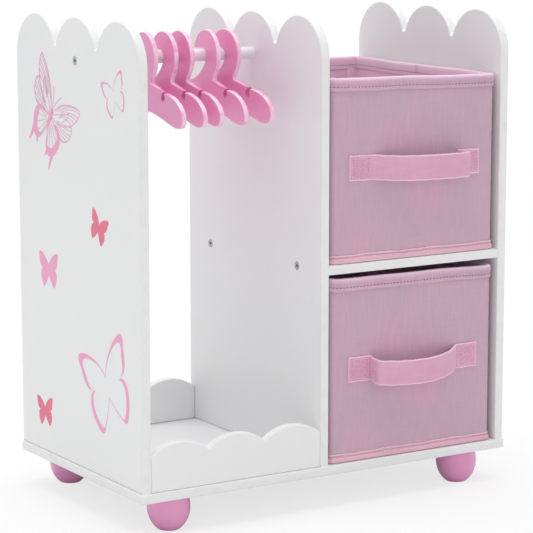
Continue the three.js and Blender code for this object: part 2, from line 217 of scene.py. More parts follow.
def turning(angle: float) -> np.ndarray:
    """Gives the 2 by 2 matrix that turns a plane anticlockwise by an angle in radians."""
    return np.array(((math.cos(angle), -math.sin(angle)), (math.sin(angle), math.cos(angle))))


def lengths(steps: np.ndarray) -> np.ndarray:
    """Gives the length of each step, as a column that can't be zero."""
    return np.maximum(np.linalg.norm(steps, axis=1, keepdims=True), NO_LENGTH)


def walked(line: np.ndarray, closed: bool = False) -> np.ndarray:
    """Gives the distance walked to each point of a line.

    Args:
        line: The line's points as rows.
        closed: Whether the walk goes on to the first point again.

    Returns:
        The distances, from zero, with one more at the end where the line is closed.
    """
    steps = np.roll(line, -1, 0) - line if closed else np.diff(line, axis=0)
    return np.concatenate([[0], np.cumsum(np.linalg.norm(steps, axis=1))])


def levelled(points: np.ndarray, level: float = 0.0) -> np.ndarray:
    """Gives points one more measure, the same for all."""
    return np.concatenate([points, np.full(points.shape[:-1] + (1,), level)], -1)


def mitres(line: np.ndarray, closed: bool = True) -> np.ndarray:
    """Gives the way in which each point of a line moves when the line is let out by one.

    Args:
        line: Points as rows of two, anticlockwise where the line is closed.
        closed: Whether the last point joins the first.

    Returns:
        For each point the sum of its two sides' normals over one plus their dot product.
    """
    step = np.roll(line, -1, 0) - line if closed else np.diff(line, axis=0)
    step = step / lengths(step)
    normal = np.stack([step[:, 1], -step[:, 0]], 1)
    if closed:
        before, after = np.roll(normal, 1, 0), normal
    else:
        before, after = np.vstack([normal[:1], normal]), np.vstack([normal, normal[-1:]])
    return (before + after) / np.maximum(1 + (before * after).sum(1, keepdims=True), LEAST_MITRE)


@dataclass(frozen=True)
class Counterbore:
    """A round, flat-bottomed hole for a screw's head.

    Attributes:
        u: Its middle along the outline's first axis.
        v: Its middle along the outline's second axis.
        from_top: Whether it is sunk from the face at full thickness, or from the face at zero.
        radius: The hole's radius.
        depth: How deep it is.
    """

    u: float
    v: float
    from_top: bool
    radius: float = 4.3
    depth: float = 2.9


def board(outline: np.ndarray, thickness: float, round_edge: float, steps: int = 4,
          holes: tuple[Counterbore, ...] = ()) -> Surface:
    """Makes a flat board with quarter-round edges and sunk screw holes.

    The side is a stack of outlines. Through a quarter turn each is inset by the edge's radius
    times one minus the sine, and raised by the radius times one minus the cosine, and the far
    side mirrors that. Both faces are cut into triangles round the holes.

    Args:
        outline: The board's outline, anticlockwise, as rows of two.
        thickness: The board's thickness, along the third axis from zero.
        round_edge: Radius of the quarter-round edges.
        steps: Steps in each quarter round.
        holes: The sunk screw holes.

    Returns:
        The closed surface, with the share onto the rounded edge at each point.
    """
    quarter = np.linspace(0, QUARTER, steps + 1)
    inset = round_edge * (1 - np.sin(quarter))
    rise = round_edge * (1 - np.cos(quarter))
    insets = np.concatenate([inset, inset[::-1]])
    heights = np.concatenate([rise, thickness - rise[::-1]])
    rings = outline[None] - insets[:, None, None] * mitres(outline)[None]
    stack = np.concatenate([rings, np.broadcast_to(heights[:, None, None], rings.shape[:2] + (1,))], 2)
    side = grid(stack, wrap_columns=True)
    count = len(outline)
    points = [side.points]
    mark = [np.repeat(1 - insets / round_edge, count)]
    faces, flat, total = list(side.faces), [], len(side.points)
    for top in (False, True):
        level = thickness if top else 0.0
        ring_start = (len(insets) - 1) * count if top else 0
        numbers = [list(range(ring_start, ring_start + count))]
        loops = [[Vector((*p, 0)) for p in rings[-1 if top else 0]]]
        for hole in (h for h in holes if h.from_top is top):
            circle = arc(hole.u, hole.v, hole.radius, 0, FULL_TURN, HOLE_STEPS)[:-1]
            floor = level - hole.depth if top else hole.depth
            wall = grid(np.stack([levelled(circle, level), levelled(circle, floor)]), wrap_columns=True)
            points.append(wall.points)
            mark.append(np.zeros(2 * HOLE_STEPS))
            faces += [tuple(i + total for i in face) for face in wall.faces]
            flat.append(len(faces))
            faces.append(tuple(range(total + HOLE_STEPS, total + 2 * HOLE_STEPS)))
            numbers.append(list(range(total, total + HOLE_STEPS)))
            loops.append([Vector((*p, 0)) for p in circle])
            total += 2 * HOLE_STEPS
        if len(loops) == 1:
            flat.append(len(faces))
            faces.append(tuple(numbers[0]))
            continue
        flat_numbers = [n for loop in numbers for n in loop]
        for triangle in tessellate_polygon(loops):
            flat.append(len(faces))
            faces.append(tuple(flat_numbers[i] for i in triangle))
    return Surface(np.concatenate(points), faces, None, flat, np.concatenate(mark))


def turned(profile: np.ndarray, steps: int, hexagon: float = 0.0) -> Surface:
    """Turns a profile about the third axis.

    Each profile point's radius is carried round a full turn. Radii up to the hexagon's are those
    of a hexagon instead: its apothem over the cosine of the angle from the middle of its flat.

    Args:
        profile: Rows of radius and height. Both ends lie on the axis.
        steps: Steps of a full turn.
        hexagon: Greatest across-corners radius at which rings are six-sided, or zero.

    Returns:
        The closed surface, with a fan of triangles at each end.
    """
    angles = np.linspace(0, FULL_TURN, steps, endpoint=False)
    inner = profile[1:-1]
    radius = np.repeat(inner[:, :1], steps, 1)
    if hexagon:
        half_flat = math.pi / 6
        from_flat = (angles + half_flat) % (2 * half_flat) - half_flat
        six = radius * math.cos(half_flat) / np.cos(from_flat)[None]
        radius = np.where(inner[:, :1] <= hexagon, six, radius)
    height = np.repeat(inner[:, 1:], steps, 1)
    rings = np.stack([radius * np.cos(angles), radius * np.sin(angles), height], 2)
    side = grid(rings, wrap_columns=True)
    ends = np.array([[0, 0, profile[0, 1]], [0, 0, profile[-1, 1]]])
    total = len(side.points)
    last = total - steps
    j = np.arange(steps)
    beside = (j + 1) % steps
    fans = np.stack([j * 0 + total, beside, j, j * 0 + total + 1, last + j, last + beside], 1).reshape(-1, 3)
    return Surface(np.vstack([side.points, ends]), side.faces + [tuple(fan) for fan in fans.tolist()])


# Pieces


def shown(name: str, data: bpy.types.ID) -> bpy.types.Object:
    """Puts a mesh, lamp or camera into the scene as an object of that name.

    Args:
        name: The object's name.
        data: The mesh, lamp or camera.

    Returns:
        The object.
    """
    made = bpy.data.objects.new(name, data)
    bpy.context.scene.collection.objects.link(made)
    return made


def refinished(node: bpy.types.Object, finish: "Finish") -> None:
    """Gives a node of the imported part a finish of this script."""
    node.data.materials.clear()
    node.data.materials.append(finish.material())


def piece(name: str, surface: Surface, finish: "Finish", body: str, stands_for: tuple[str, ...] = (),
          closed: bool = True, crease: float = 35.0) -> bpy.types.Object:
    """Makes an object of a surface, in its finish, and hands it to a body.

    Args:
        name: The object's name.
        surface: What it is made of.
        finish: Its material.
        body: The body that it rides on.
        stands_for: The nodes that it takes the place of.
        closed: Whether the surface is closed, so that its faces can be turned outwards.
        crease: Edges sharper than this many degrees are shaded sharp.

    Returns:
        The object, at the origin, with its place in its mesh.
    """
    mesh = bpy.data.meshes.new(name)
    mesh.from_pydata((surface.points * METRES + CASE_CORNER).tolist(), [], surface.faces)
    if surface.uv is not None:
        mesh.uv_layers.new(name="cloth").data.foreach_set("uv", surface.uv.astype(np.float32).ravel())
    if surface.mark is not None:
        attribute = mesh.attributes.new("mark", "FLOAT", "POINT")
        attribute.data.foreach_set("value", surface.mark.astype(np.float32))
    if closed:
        shape = bmesh.new()
        shape.from_mesh(mesh)
        bmesh.ops.recalc_face_normals(shape, faces=shape.faces)
        shape.to_mesh(mesh)
        shape.free()
    mesh.set_sharp_from_angle(angle=math.radians(crease))
    smooth = np.ones(len(surface.faces), bool)
    smooth[surface.flat] = False
    mesh.polygons.foreach_set("use_smooth", smooth)
    mesh.materials.append(finish.material())
    made = shown(name, mesh)
    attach(made, body)
    if stands_for:
        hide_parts(*stands_for)
    log.info("%s: %d faces on %s", name, len(surface.faces), body)
    return made


# Shader writing


class Wire:
    """A node's output, which adds, subtracts, multiplies and drops its sign as a number does."""

    def __init__(self, shader: "Shader", socket: bpy.types.NodeSocket) -> None:
        """Keeps the socket and the shader that it is in."""
        self.shader = shader
        self.socket = socket

    def __add__(self, other: "Value") -> "Wire":
        """Adds a number or another wire."""
        return self.shader.math("ADD", self, other)

    def __sub__(self, other: "Value") -> "Wire":
        """Takes a number or another wire away."""
        return self.shader.math("SUBTRACT", self, other)

    def __rsub__(self, other: "Value") -> "Wire":
        """Is taken away from a number."""
        return self.shader.math("SUBTRACT", other, self)

    def __mul__(self, other: "Value") -> "Wire":
        """Multiplies by a number or another wire."""
        return self.shader.math("MULTIPLY", self, other)

    def __abs__(self) -> "Wire":
        """Drops the sign."""
        return self.shader.math("ABSOLUTE", self)

    __radd__ = __add__
    __rmul__ = __mul__


Value = Wire | float | tuple[float, ...]


class Shader:
    """The nodes of one material or sky, written as expressions."""

    def __init__(self, owner: bpy.types.Material | bpy.types.World) -> None:
        """Empties the node tree of a new material or sky.

        Args:
            owner: The material or the sky's world.
        """
        owner.use_nodes = True
        self.owner = owner
        self.tree = owner.node_tree
        self.tree.nodes.clear()

    def node(self, kind: str, sockets: dict[str | int, Value] | None = None,
             **settings: str) -> bpy.types.Node:
        """Adds a node.

        Args:
            kind: The node's type, without the word that all types start with.
            sockets: The values or wires of its inputs, by name or number.
            settings: Its settings by name.

        Returns:
            The node.
        """
        made = self.tree.nodes.new(f"ShaderNode{kind}")
        for name, value in settings.items():
            setattr(made, name, value)
        for name, value in (sockets or {}).items():
            socket = made.inputs[name]
            if isinstance(value, Wire):
                self.tree.links.new(value.socket, socket)
            elif isinstance(value, tuple) and socket.type == "RGBA":
                socket.default_value = (*value[:3], 1)
            else:
                socket.default_value = value
        return made

    def wire(self, made: bpy.types.Node, output: str | int = 0) -> Wire:
        """Takes one of a node's outputs, by name or number."""
        return Wire(self, made.outputs[output])

    def math(self, operation: str, first: Value, second: Value = 0.0) -> Wire:
        """Works out one step of number maths with a Math node."""
        return self.wire(self.node("Math", {0: first, 1: second}, operation=operation))

    def held(self, value: Wire) -> Wire:
        """Holds a value between 0 and 1."""
        return self.wire(self.node("Clamp", {"Value": value}))

    def sine(self, value: Wire) -> Wire:
        """Takes the sine of a value in radians."""
        return self.math("SINE", value)

    def point(self) -> Wire:
        """Gives the place on the object, in metres."""
        return self.wire(self.node("TexCoord"), "Object")

    def cloth(self) -> Wire:
        """Gives the place on the cloth, along and across it, in metres."""
        return self.wire(self.node("UVMap", uv_map="cloth"))

    def split(self, at: Wire) -> list[Wire]:
        """Takes a vector apart into its three numbers."""
        made = self.node("SeparateXYZ", {0: at})
        return [self.wire(made, axis) for axis in "XYZ"]

    def joined(self, x: Value, y: Value, z: Value = 0.0) -> Wire:
        """Puts three numbers into a vector."""
        return self.wire(self.node("CombineXYZ", {"X": x, "Y": y, "Z": z}))

    def noise(self, at: Wire, scale: float, detail: float = 2.0, rough: float = 0.5) -> Wire:
        """Gives soft noise from 0 to 1.

        Args:
            at: The place.
            scale: How many bumps there are to a metre.
            detail: How many finer layers are added.
            rough: How strong these are.

        Returns:
            The noise.
        """
        sockets = {"Vector": at, "Scale": scale, "Detail": detail, "Roughness": rough}
        return self.wire(self.node("TexNoise", sockets), "Fac")

    def attribute(self, name: str) -> Wire:
        """Reads one of the mesh's own attributes."""
        return self.wire(self.node("Attribute", attribute_name=name), "Fac")

    def blend(self, share: Value, first: Value, second: Value) -> Wire:
        """Mixes two colours.

        Args:
            share: How much of the second there is, from 0 to 1.
            first: The first colour.
            second: The second colour.

        Returns:
            The mixed colour.
        """
        return self.wire(self.node("Mix", {0: share, 6: first, 7: second}, data_type="RGBA"), 2)

    def bump(self, height: Wire, depth: float, strength: float) -> Wire:
        """Turns a height from 0 to 1 into a normal.

        Args:
            height: The height.
            depth: How deep the relief is, in metres.
            strength: How much of it shows.

        Returns:
            The normal.
        """
        sockets = {"Strength": strength, "Distance": depth, "Height": height}
        return self.wire(self.node("Bump", sockets))

    def mix(self, share: Wire, first: Wire, second: Wire) -> Wire:
        """Mixes two shaders by a share of the second."""
        return self.wire(self.node("MixShader", {0: share, 1: first, 2: second}))

    def close(self, shading: Wire, kind: str = "Material") -> None:
        """Closes the material or the sky with its shading."""
        self.node(f"Output{kind}", {"Surface": shading})

    def surface(self, sockets: dict[str, Value]) -> None:
        """Closes the material with one surface shader, whose values and wires are given by name."""
        self.close(self.wire(self.node("BsdfPrincipled", sockets)))


# Finishes


@dataclass(frozen=True)
class Finish:
    """A finish that pieces are given.

    Attributes:
        name: The material's name.
        slot: The record's material slot. Not used.
    """

    name: str
    slot: str

    def material(self) -> bpy.types.Material:
        """Gives the finish's material, made the first time it is asked for.

        Returns:
            The material.
        """
        if self.name not in bpy.data.materials:
            self.write(Shader(bpy.data.materials.new(self.name)))
        return bpy.data.materials[self.name]

    def write(self, shader: Shader) -> None:
        """Writes the finish's nodes into an empty shader."""
        raise NotImplementedError


@dataclass(frozen=True)
class SatinPaint(Finish):
    """White sprayed paint on board, a little thinner and warmer where it rounds an edge."""

    name: str = "satin_paint"
    slot: str = "white_paint"
    body: Colour = paint_mix(243, 243, 243)
    cloud: Colour = paint_mix(238, 239, 240)
    thin: Colour = paint_mix(232, 230, 226)

    def write(self, shader: Shader) -> None:
        """Mixes cloudy white with faint orange peel and thin places along the edges.

        Args:
            shader: The material's empty shader.
        """
        at = shader.point()
        clouds = shader.noise(at, 11, 3)
        peel = shader.noise(at, 620, 2) * 0.7 + shader.noise(at, 170, 1) * 0.3
        thin = shader.held(shader.attribute("mark") * (shader.noise(at, 90, 4, 0.6) * 2.4 - 1.0))
        colour = shader.blend(thin * 0.55, shader.blend(clouds, self.body, self.cloud), self.thin)
        shader.surface({
            "Base Color": colour,
            "Roughness": 0.36 + clouds * 0.12 + thin * 0.1,
            "Normal": shader.bump(peel, 0.00005, 0.55),
            "Specular IOR Level": 0.42,
        })


@dataclass(frozen=True)
class MouldedPink(Finish):
    """Pink moulded plastic with a soft gloss, and painted highlights along its rounded edges."""

    name: str = "moulded_pink"
    slot: str = "hanger_plastic"
    body: Colour = paint_mix(248, 168, 211)
    cloud: Colour = paint_mix(243, 159, 205)
    # Colour of the painted highlight along the rounded edges.
    pale_edge_and_highlight: Colour = paint_mix(253, 218, 237)
    # Colour of the painted shade on the notches' walls.
    deep: Colour = paint_mix(214, 112, 166)

    def write(self, shader: Shader) -> None:
        """Mixes flowing pink, painted edge highlights, painted notch shade and faint mould grain.

        Args:
            shader: The material's empty shader.
        """
        at = shader.point()
        flow = shader.noise(at, 28, 3, 0.6)
        grain = shader.noise(at, 900, 2)
        mark = shader.attribute("mark")
        # Painted highlight: flecked glints along the rounded edges.
        pale_edge_and_highlight = shader.held(mark * (shader.noise(at, 90, 4, 0.65) * 5.0 - 1.7))
        colour = shader.blend(pale_edge_and_highlight * 0.8, shader.blend(flow, self.body, self.cloud), self.pale_edge_and_highlight)
        # Painted shade on the notches' walls, where the mark is under zero.
        shader.surface({
            "Base Color": shader.blend(shader.held(mark * -1.0), colour, self.deep),
            "Roughness": 0.3 + flow * 0.1,
            "Normal": shader.bump(grain, 0.00004, 0.5),
            "Coat Weight": 0.25,
            "Coat Roughness": 0.2,
        })


@dataclass(frozen=True)
class PinkLacquer(Finish):
    """Pink gloss lacquer on a turned wooden foot, with its faint turning lines."""

    name: str = "pink_lacquer"
    slot: str = "foot_lacquer"
    body: Colour = paint_mix(238, 162, 206)
    deep: Colour = paint_mix(230, 148, 197)

    def write(self, shader: Shader) -> None:
        """Mixes two pinks in faint rings up the foot, under a glossy coat.

        Args:
            shader: The material's empty shader.
        """
        at = shader.point()
        rings = shader.noise(shader.joined(0.0, 0.0, shader.split(at)[2]), 900, 2)
        clouds = shader.noise(at, 60, 3)
        relief = rings * 0.6 + shader.noise(at, 500, 2) * 0.4
        shader.surface({
            "Base Color": shader.blend(clouds * 0.7 + rings * 0.3, self.body, self.deep),
            "Roughness": 0.26 + clouds * 0.1,
            "Normal": shader.bump(relief, 0.00004, 0.5),
            "Coat Weight": 0.6,
            "Coat Roughness": 0.12,
        })


@dataclass(frozen=True)
class WovenCloth(Finish):
    """Plain woven cloth, whose yarns follow its own UV map in metres.

    Attributes:
        light: Colour of the warm patches.
        shade: Colour of the cool patches between them.
        gap: Colour of the painted shade down between the yarns, also used for darker slubs and
        sewn places.
        warp: Distance between the upright yarns, in metres.
        weft: Distance between the level yarns, in metres.
        ribbing: How much the upright yarns outweigh the level ones, from 0 to 1.
        relief: Depth of the weave in metres.
        pale: Colour of its rubbed folds and woven edges.
        half_width: Half the width of a woven band with pale edges, in metres, or zero.
    """

    light: Colour
    shade: Colour
    gap: Colour
    warp: float = 0.0011
    weft: float = 0.0009
    ribbing: float = 0.7
    # pale: Colour of its pale folds and woven edges, also used for painted highlights on folds and     painted light where shade falls.
    relief: float = 0.00018
    pale: Colour = paint_mix(252, 222, 234)
    half_width: float = 0.0

    def write(self, shader: Shader) -> None:
        """Mixes yarns that run over and under each other with slubs and wide soft patches.

        Where the mesh's mark is over zero the cloth is darkened and mottled: a sewn patch pressed by its
        stitches, painted shade in a sewn groove and a painted shadow line under a hem's edge. Where the
        mark is under zero it is paled: pale folds and woven edges, painted highlights on folds and
        painted light where shade falls inside a bin.

        Args:
            shader: The material's empty shader.
        """
        along, across, _ = shader.split(shader.cloth())
        place = shader.joined(along, across)
        wander = shader.noise(place, 45, 2) * 0.0016
        upright = abs(shader.sine((along + wander) * (math.pi / self.warp)))
        level = abs(shader.sine((across + wander) * (math.pi / self.weft)))
        slubs = shader.noise(shader.joined(along * 9.0, across), 40, 3, 0.6)
        level_slubs = shader.noise(shader.joined(along, across * 9.0), 40, 3, 0.6)
        yarns = upright * self.ribbing + level * (1 - self.ribbing)
        patches = shader.held(shader.noise(place, 14, 3, 0.55) * 3.6 - 1.3)
        fluff = shader.noise(place, 1500, 2)
        colour = shader.blend(patches, self.light, self.shade)
        streaks = shader.held(slubs * (4 * self.ribbing) + level_slubs * (4 - 4 * self.ribbing) - 1.65)
        # Darker slubs, and painted shade down between the yarns.
        colour = shader.blend(streaks * 0.2 + (1 - yarns) * 0.22, colour, self.gap)
        height = yarns * 0.6 + slubs * 0.25 + fluff * 0.15
        mark = shader.attribute("mark")
        sewn, pale_edge_and_highlight = shader.held(mark), shader.held(mark * -1.0)
        mottle = shader.held(shader.noise(place, 400, 2) * 7.0 - 3.0)
        # Darkens sewn patches, and paints shade in grooves and a shadow line under hems.
        colour = shader.blend(sewn * (0.12 + mottle * 0.28), colour, self.gap)
        height = height - sewn * mottle * 0.8
        if self.half_width:
            from_middle = shader.math("PINGPONG", across, self.half_width)
            pale_edge_and_highlight = shader.held(pale_edge_and_highlight + shader.held((from_middle - self.half_width + 0.0016) * 1400.0))
        # Pales folds and woven edges, and paints highlights and light where the mark is under zero.
        colour = shader.blend(pale_edge_and_highlight * 0.8, colour, self.pale)
        shader.surface({
            "Base Color": colour,
            "Roughness": 0.82 + fluff * 0.12,
            "Normal": shader.bump(height, self.relief, 0.8),
            "Sheen Weight": 0.15,
            "Sheen Roughness": 0.5,
            "Specular IOR Level": 0.2,
        })


@dataclass(frozen=True)
class Thread(Finish):
    """Twisted sewing thread."""

    body: Colour
    deep: Colour

    def write(self, shader: Shader) -> None:
        """Mixes two pinks in the fine slant of a twist.

        Args:
            shader: The material's empty shader.
        """
        x, y, z = shader.split(shader.point())
        twist = abs(shader.sine((x + y + z) * 7000.0))
        shader.surface({
            "Base Color": shader.blend(twist, self.deep, self.body),
            "Roughness": 0.7,
            "Normal": shader.bump(twist, 0.0001, 0.5),
            "Sheen Weight": 0.3,
        })


@dataclass(frozen=True)
class GreyCard(Finish):
    """Raw grey card, with the specks and fibres of waste paper."""

    name: str = "grey_card"
    slot: str = "grey_board"
    body: Colour = paint_mix(186, 180, 172)
    fibre: Colour = paint_mix(150, 144, 138)
    speck: Colour = paint_mix(205, 200, 194)

    def write(self, shader: Shader) -> None:
        """Mixes grey with drawn-out fibres and pale specks.

        Args:
            shader: The material's empty shader.
        """
        at = shader.point()
        fibres = shader.noise(at, 420, 5, 0.7)
        specks = shader.held(shader.noise(at, 900, 1) * 6.0 - 3.9)
        colour = shader.blend(shader.held(fibres * 1.8 - 0.5), self.fibre, self.body)
        shader.surface({
            "Base Color": shader.blend(specks, colour, self.speck),
            "Roughness": 0.92,
            "Normal": shader.bump(fibres, 0.00012, 0.6),
        })


@dataclass(frozen=True)
class DarkZinc(Finish):
    """Dark zinc on steel, cloudy in two greys."""

    name: str = "dark_zinc"
    slot: str = "screw_steel"
    body: Colour = paint_mix(200, 201, 205)
    dull: Colour = paint_mix(150, 151, 156)

    def write(self, shader: Shader) -> None:
        """Mixes two greys of metal with a fine brushed relief.

        Args:
            shader: The material's empty shader.
        """
        at = shader.point()
        cloudy = shader.noise(at, 420, 4, 0.6)
        shader.surface({
            "Base Color": shader.blend(cloudy, self.body, self.dull),
            "Metallic": 0.9,
            "Roughness": 0.4 + cloudy * 0.2,
            "Normal": shader.bump(shader.noise(at, 2600, 2), 0.00004, 0.6),
        })


@dataclass(frozen=True)
class PrintedFilm(Finish):
    """Ink printed on the paint, slightly uneven as a transfer is."""

    ink: Colour
    pale_wash_and_highlight: Colour

    def write(self, shader: Shader) -> None:
        """Mixes the ink with a paler wash and the paint's own faint peel.

        Args:
            shader: The material's empty shader.
        """
        at = shader.point()
        wash = shader.noise(at, 120, 4, 0.65)
        shader.surface({
            "Base Color": shader.blend(wash, self.ink, self.pale_wash_and_highlight),
            "Roughness": 0.42 + wash * 0.1,
            "Normal": shader.bump(shader.noise(at, 620, 2), 0.00004, 0.5),
        })


PAINT = SatinPaint()
HANGER_PINK = MouldedPink()
FOOT_PINK = PinkLacquer()
CARD = GreyCard()
ZINC = DarkZinc()
BIN_CLOTH = WovenCloth(
    "woven_bin_cloth", "bin_cloth", paint_mix(217, 178, 195), paint_mix(207, 179, 195),
    paint_mix(176, 146, 166))
# A pale pink lining, its colours raised further as painted light against the shade inside the bin.
LINING = WovenCloth(
    "bin_lining", "bin_cloth", paint_mix(250, 214, 233), paint_mix(242, 206, 229), paint_mix(218, 174, 204))
# Its pale colour is painted highlight on the rim's folds, and painted light on the rim's inside and the
# tapes, where shade falls.
BINDING_CLOTH = WovenCloth(
    "binding_cloth", "bin_binding", paint_mix(218, 180, 198), paint_mix(206, 174, 194),
    paint_mix(166, 120, 146), warp=0.0009, ribbing=0.5, relief=0.00014, pale=paint_mix(252, 218, 238))
FOOT_CLOTH = WovenCloth(
    "foot_cloth", "bin_binding", paint_mix(240, 197, 211), paint_mix(234, 188, 205),
    paint_mix(204, 150, 174), warp=0.0009, ribbing=0.5, relief=0.00014)
STRAP_CLOTH = WovenCloth(
    "woven_strap_cloth", "strap_cloth", paint_mix(235, 186, 206), paint_mix(228, 178, 200),
    paint_mix(200, 136, 164), warp=0.0009, ribbing=0.4, relief=0.00014, pale=paint_mix(250, 216, 230),
    half_width=0.0125)
HEM_THREAD = Thread("hem_thread", "bin_binding", paint_mix(158, 100, 130), paint_mix(132, 78, 108))
STRAP_THREAD = Thread("strap_thread", "strap_cloth", paint_mix(250, 206, 222), paint_mix(236, 178, 200))
PALE_INK = PrintedFilm("pale_pink_ink", "hanger_plastic", paint_mix(238, 162, 198), paint_mix(244, 174, 208))
ROSE_INK = PrintedFilm("rose_ink", "hanger_plastic", paint_mix(231, 110, 140), paint_mix(236, 122, 150))


# Carcass


@dataclass(frozen=True)
class CaseSizes:
    """The case's sizes, as in the part's source."""

    board: float = 9.5
    hanging_bay: float = 188.7
    bin_bay: float = 204.9
    depth: float = 254.0
    panel_height: float = 439.1
    panel_valley: float = 2.8
    overhang: float = 1.6
    corner: float = 3.0
    round_edge: float = 1.5
    shelf_height: float = 189.1
    shelf_setback: float = 1.0
    foot_rail_height: float = 46.3
    foot_rail_lobe: float = 50.0
    foot_rail_valley: float = 3.0
    rail_radius: float = 6.0
    rail_drop: float = 41.7
    shelf_screw_inset: float = 43.5
    base_screw_inset: float = 62.0
    foot_rail_screw_inset: float = 47.0
    foot_inset: float = 24.0
    foot_side_inset: float = 41.0
    lobes: int = 3

    @property
    def divider(self) -> float:
        """The divider's left face."""
        return self.board + self.hanging_bay

    @property
    def bins(self) -> float:
        """The divider's right face."""
        return self.divider + self.board

    @property
    def right(self) -> float:
        """The right panel's inner face."""
        return self.bins + self.bin_bay

    @property
    def width(self) -> float:
        """The width over the uprights."""
        return self.right + self.board

    @property
    def rail_height(self) -> float:
        """The hanging rail's middle."""
        return self.board + self.panel_height - self.rail_drop

    @property
    def shelf(self) -> float:
        """The bin shelf's underside."""
        return self.board + self.shelf_height

    def ends(self, inset: float) -> dict[str, float]:
        """Gives the places at an inset from the front edge and from the back edge."""
        return {"front": inset, "back": self.depth - inset}


SIZES = CaseSizes()

# Ways to lay what is drawn flat: its third axis to the right, to the left, to the front or up.
ACROSS = np.array(((0, 0, 1), (1, 0, 0), (0, 1, 0)))
BACK_ACROSS = np.array(((0, 0, -1), (1, 0, 0), (0, -1, 0)))
ALONG = np.array(((1, 0, 0), (0, 0, -1), (0, 1, 0)))
LEVEL = np.eye(3)


def rounded_rectangle(width: float, depth: float, radius: float, steps: int = 8) -> np.ndarray:
    """Draws a rectangle about the origin with quarter circles for corners.

    Args:
        width: Size along the first axis.
        depth: Size along the second axis.
        radius: The corners' radius.
        steps: Steps in each corner.

    Returns:
        Its outline, anticlockwise.
    """
    x, y = width / 2 - radius, depth / 2 - radius
    middles = ((x, y), (-x, y), (-x, -y), (x, -y))
    return np.vstack([arc(*middle, radius, k * QUARTER, (k + 1) * QUARTER, steps)
                      for k, middle in enumerate(middles)])


def lobed_outline(length: float, height: float, count: int, lobe: float, valley: float,
                  lobe_steps: int, valley_steps: int) -> np.ndarray:
    """Draws a board with a straight foot and a row of round lobes along its top.

    Neighbouring lobes are joined by a small arc that touches both. Its middle lies half a pitch
    from each lobe's, at the height where the two radii together span that distance.

    Args:
        length: The board's length.
        height: Its height at the lobes.
        count: How many lobes there are.
        lobe: The lobes' radius.
        valley: Radius of the arcs between them.
        lobe_steps: Steps in each lobe.
        valley_steps: Steps in each arc between.

    Returns:
        The outline, anticlockwise, from the foot's right end.
    """
    pitch = length / count
    middle_height = height - lobe
    rise = math.sqrt((lobe + valley) ** 2 - (pitch / 2) ** 2)
    angle = math.atan2(rise, pitch / 2)
    end = math.acos(min(1.0, pitch / (2 * lobe)))
    runs = []
    for i in reversed(range(count)):
        middle = (i + 0.5) * pitch
        start = end if i == count - 1 else angle
        stop = math.pi - (end if i == 0 else angle)
        runs.append(arc(middle, middle_height, lobe, start, stop, lobe_steps))
        if i:
            between = (middle - pitch / 2, middle_height + rise)
            runs.append(arc(*between, valley, -angle, angle - math.pi, valley_steps)[1:-1])
    return np.vstack([[(0, 0), (length, 0)], *runs])


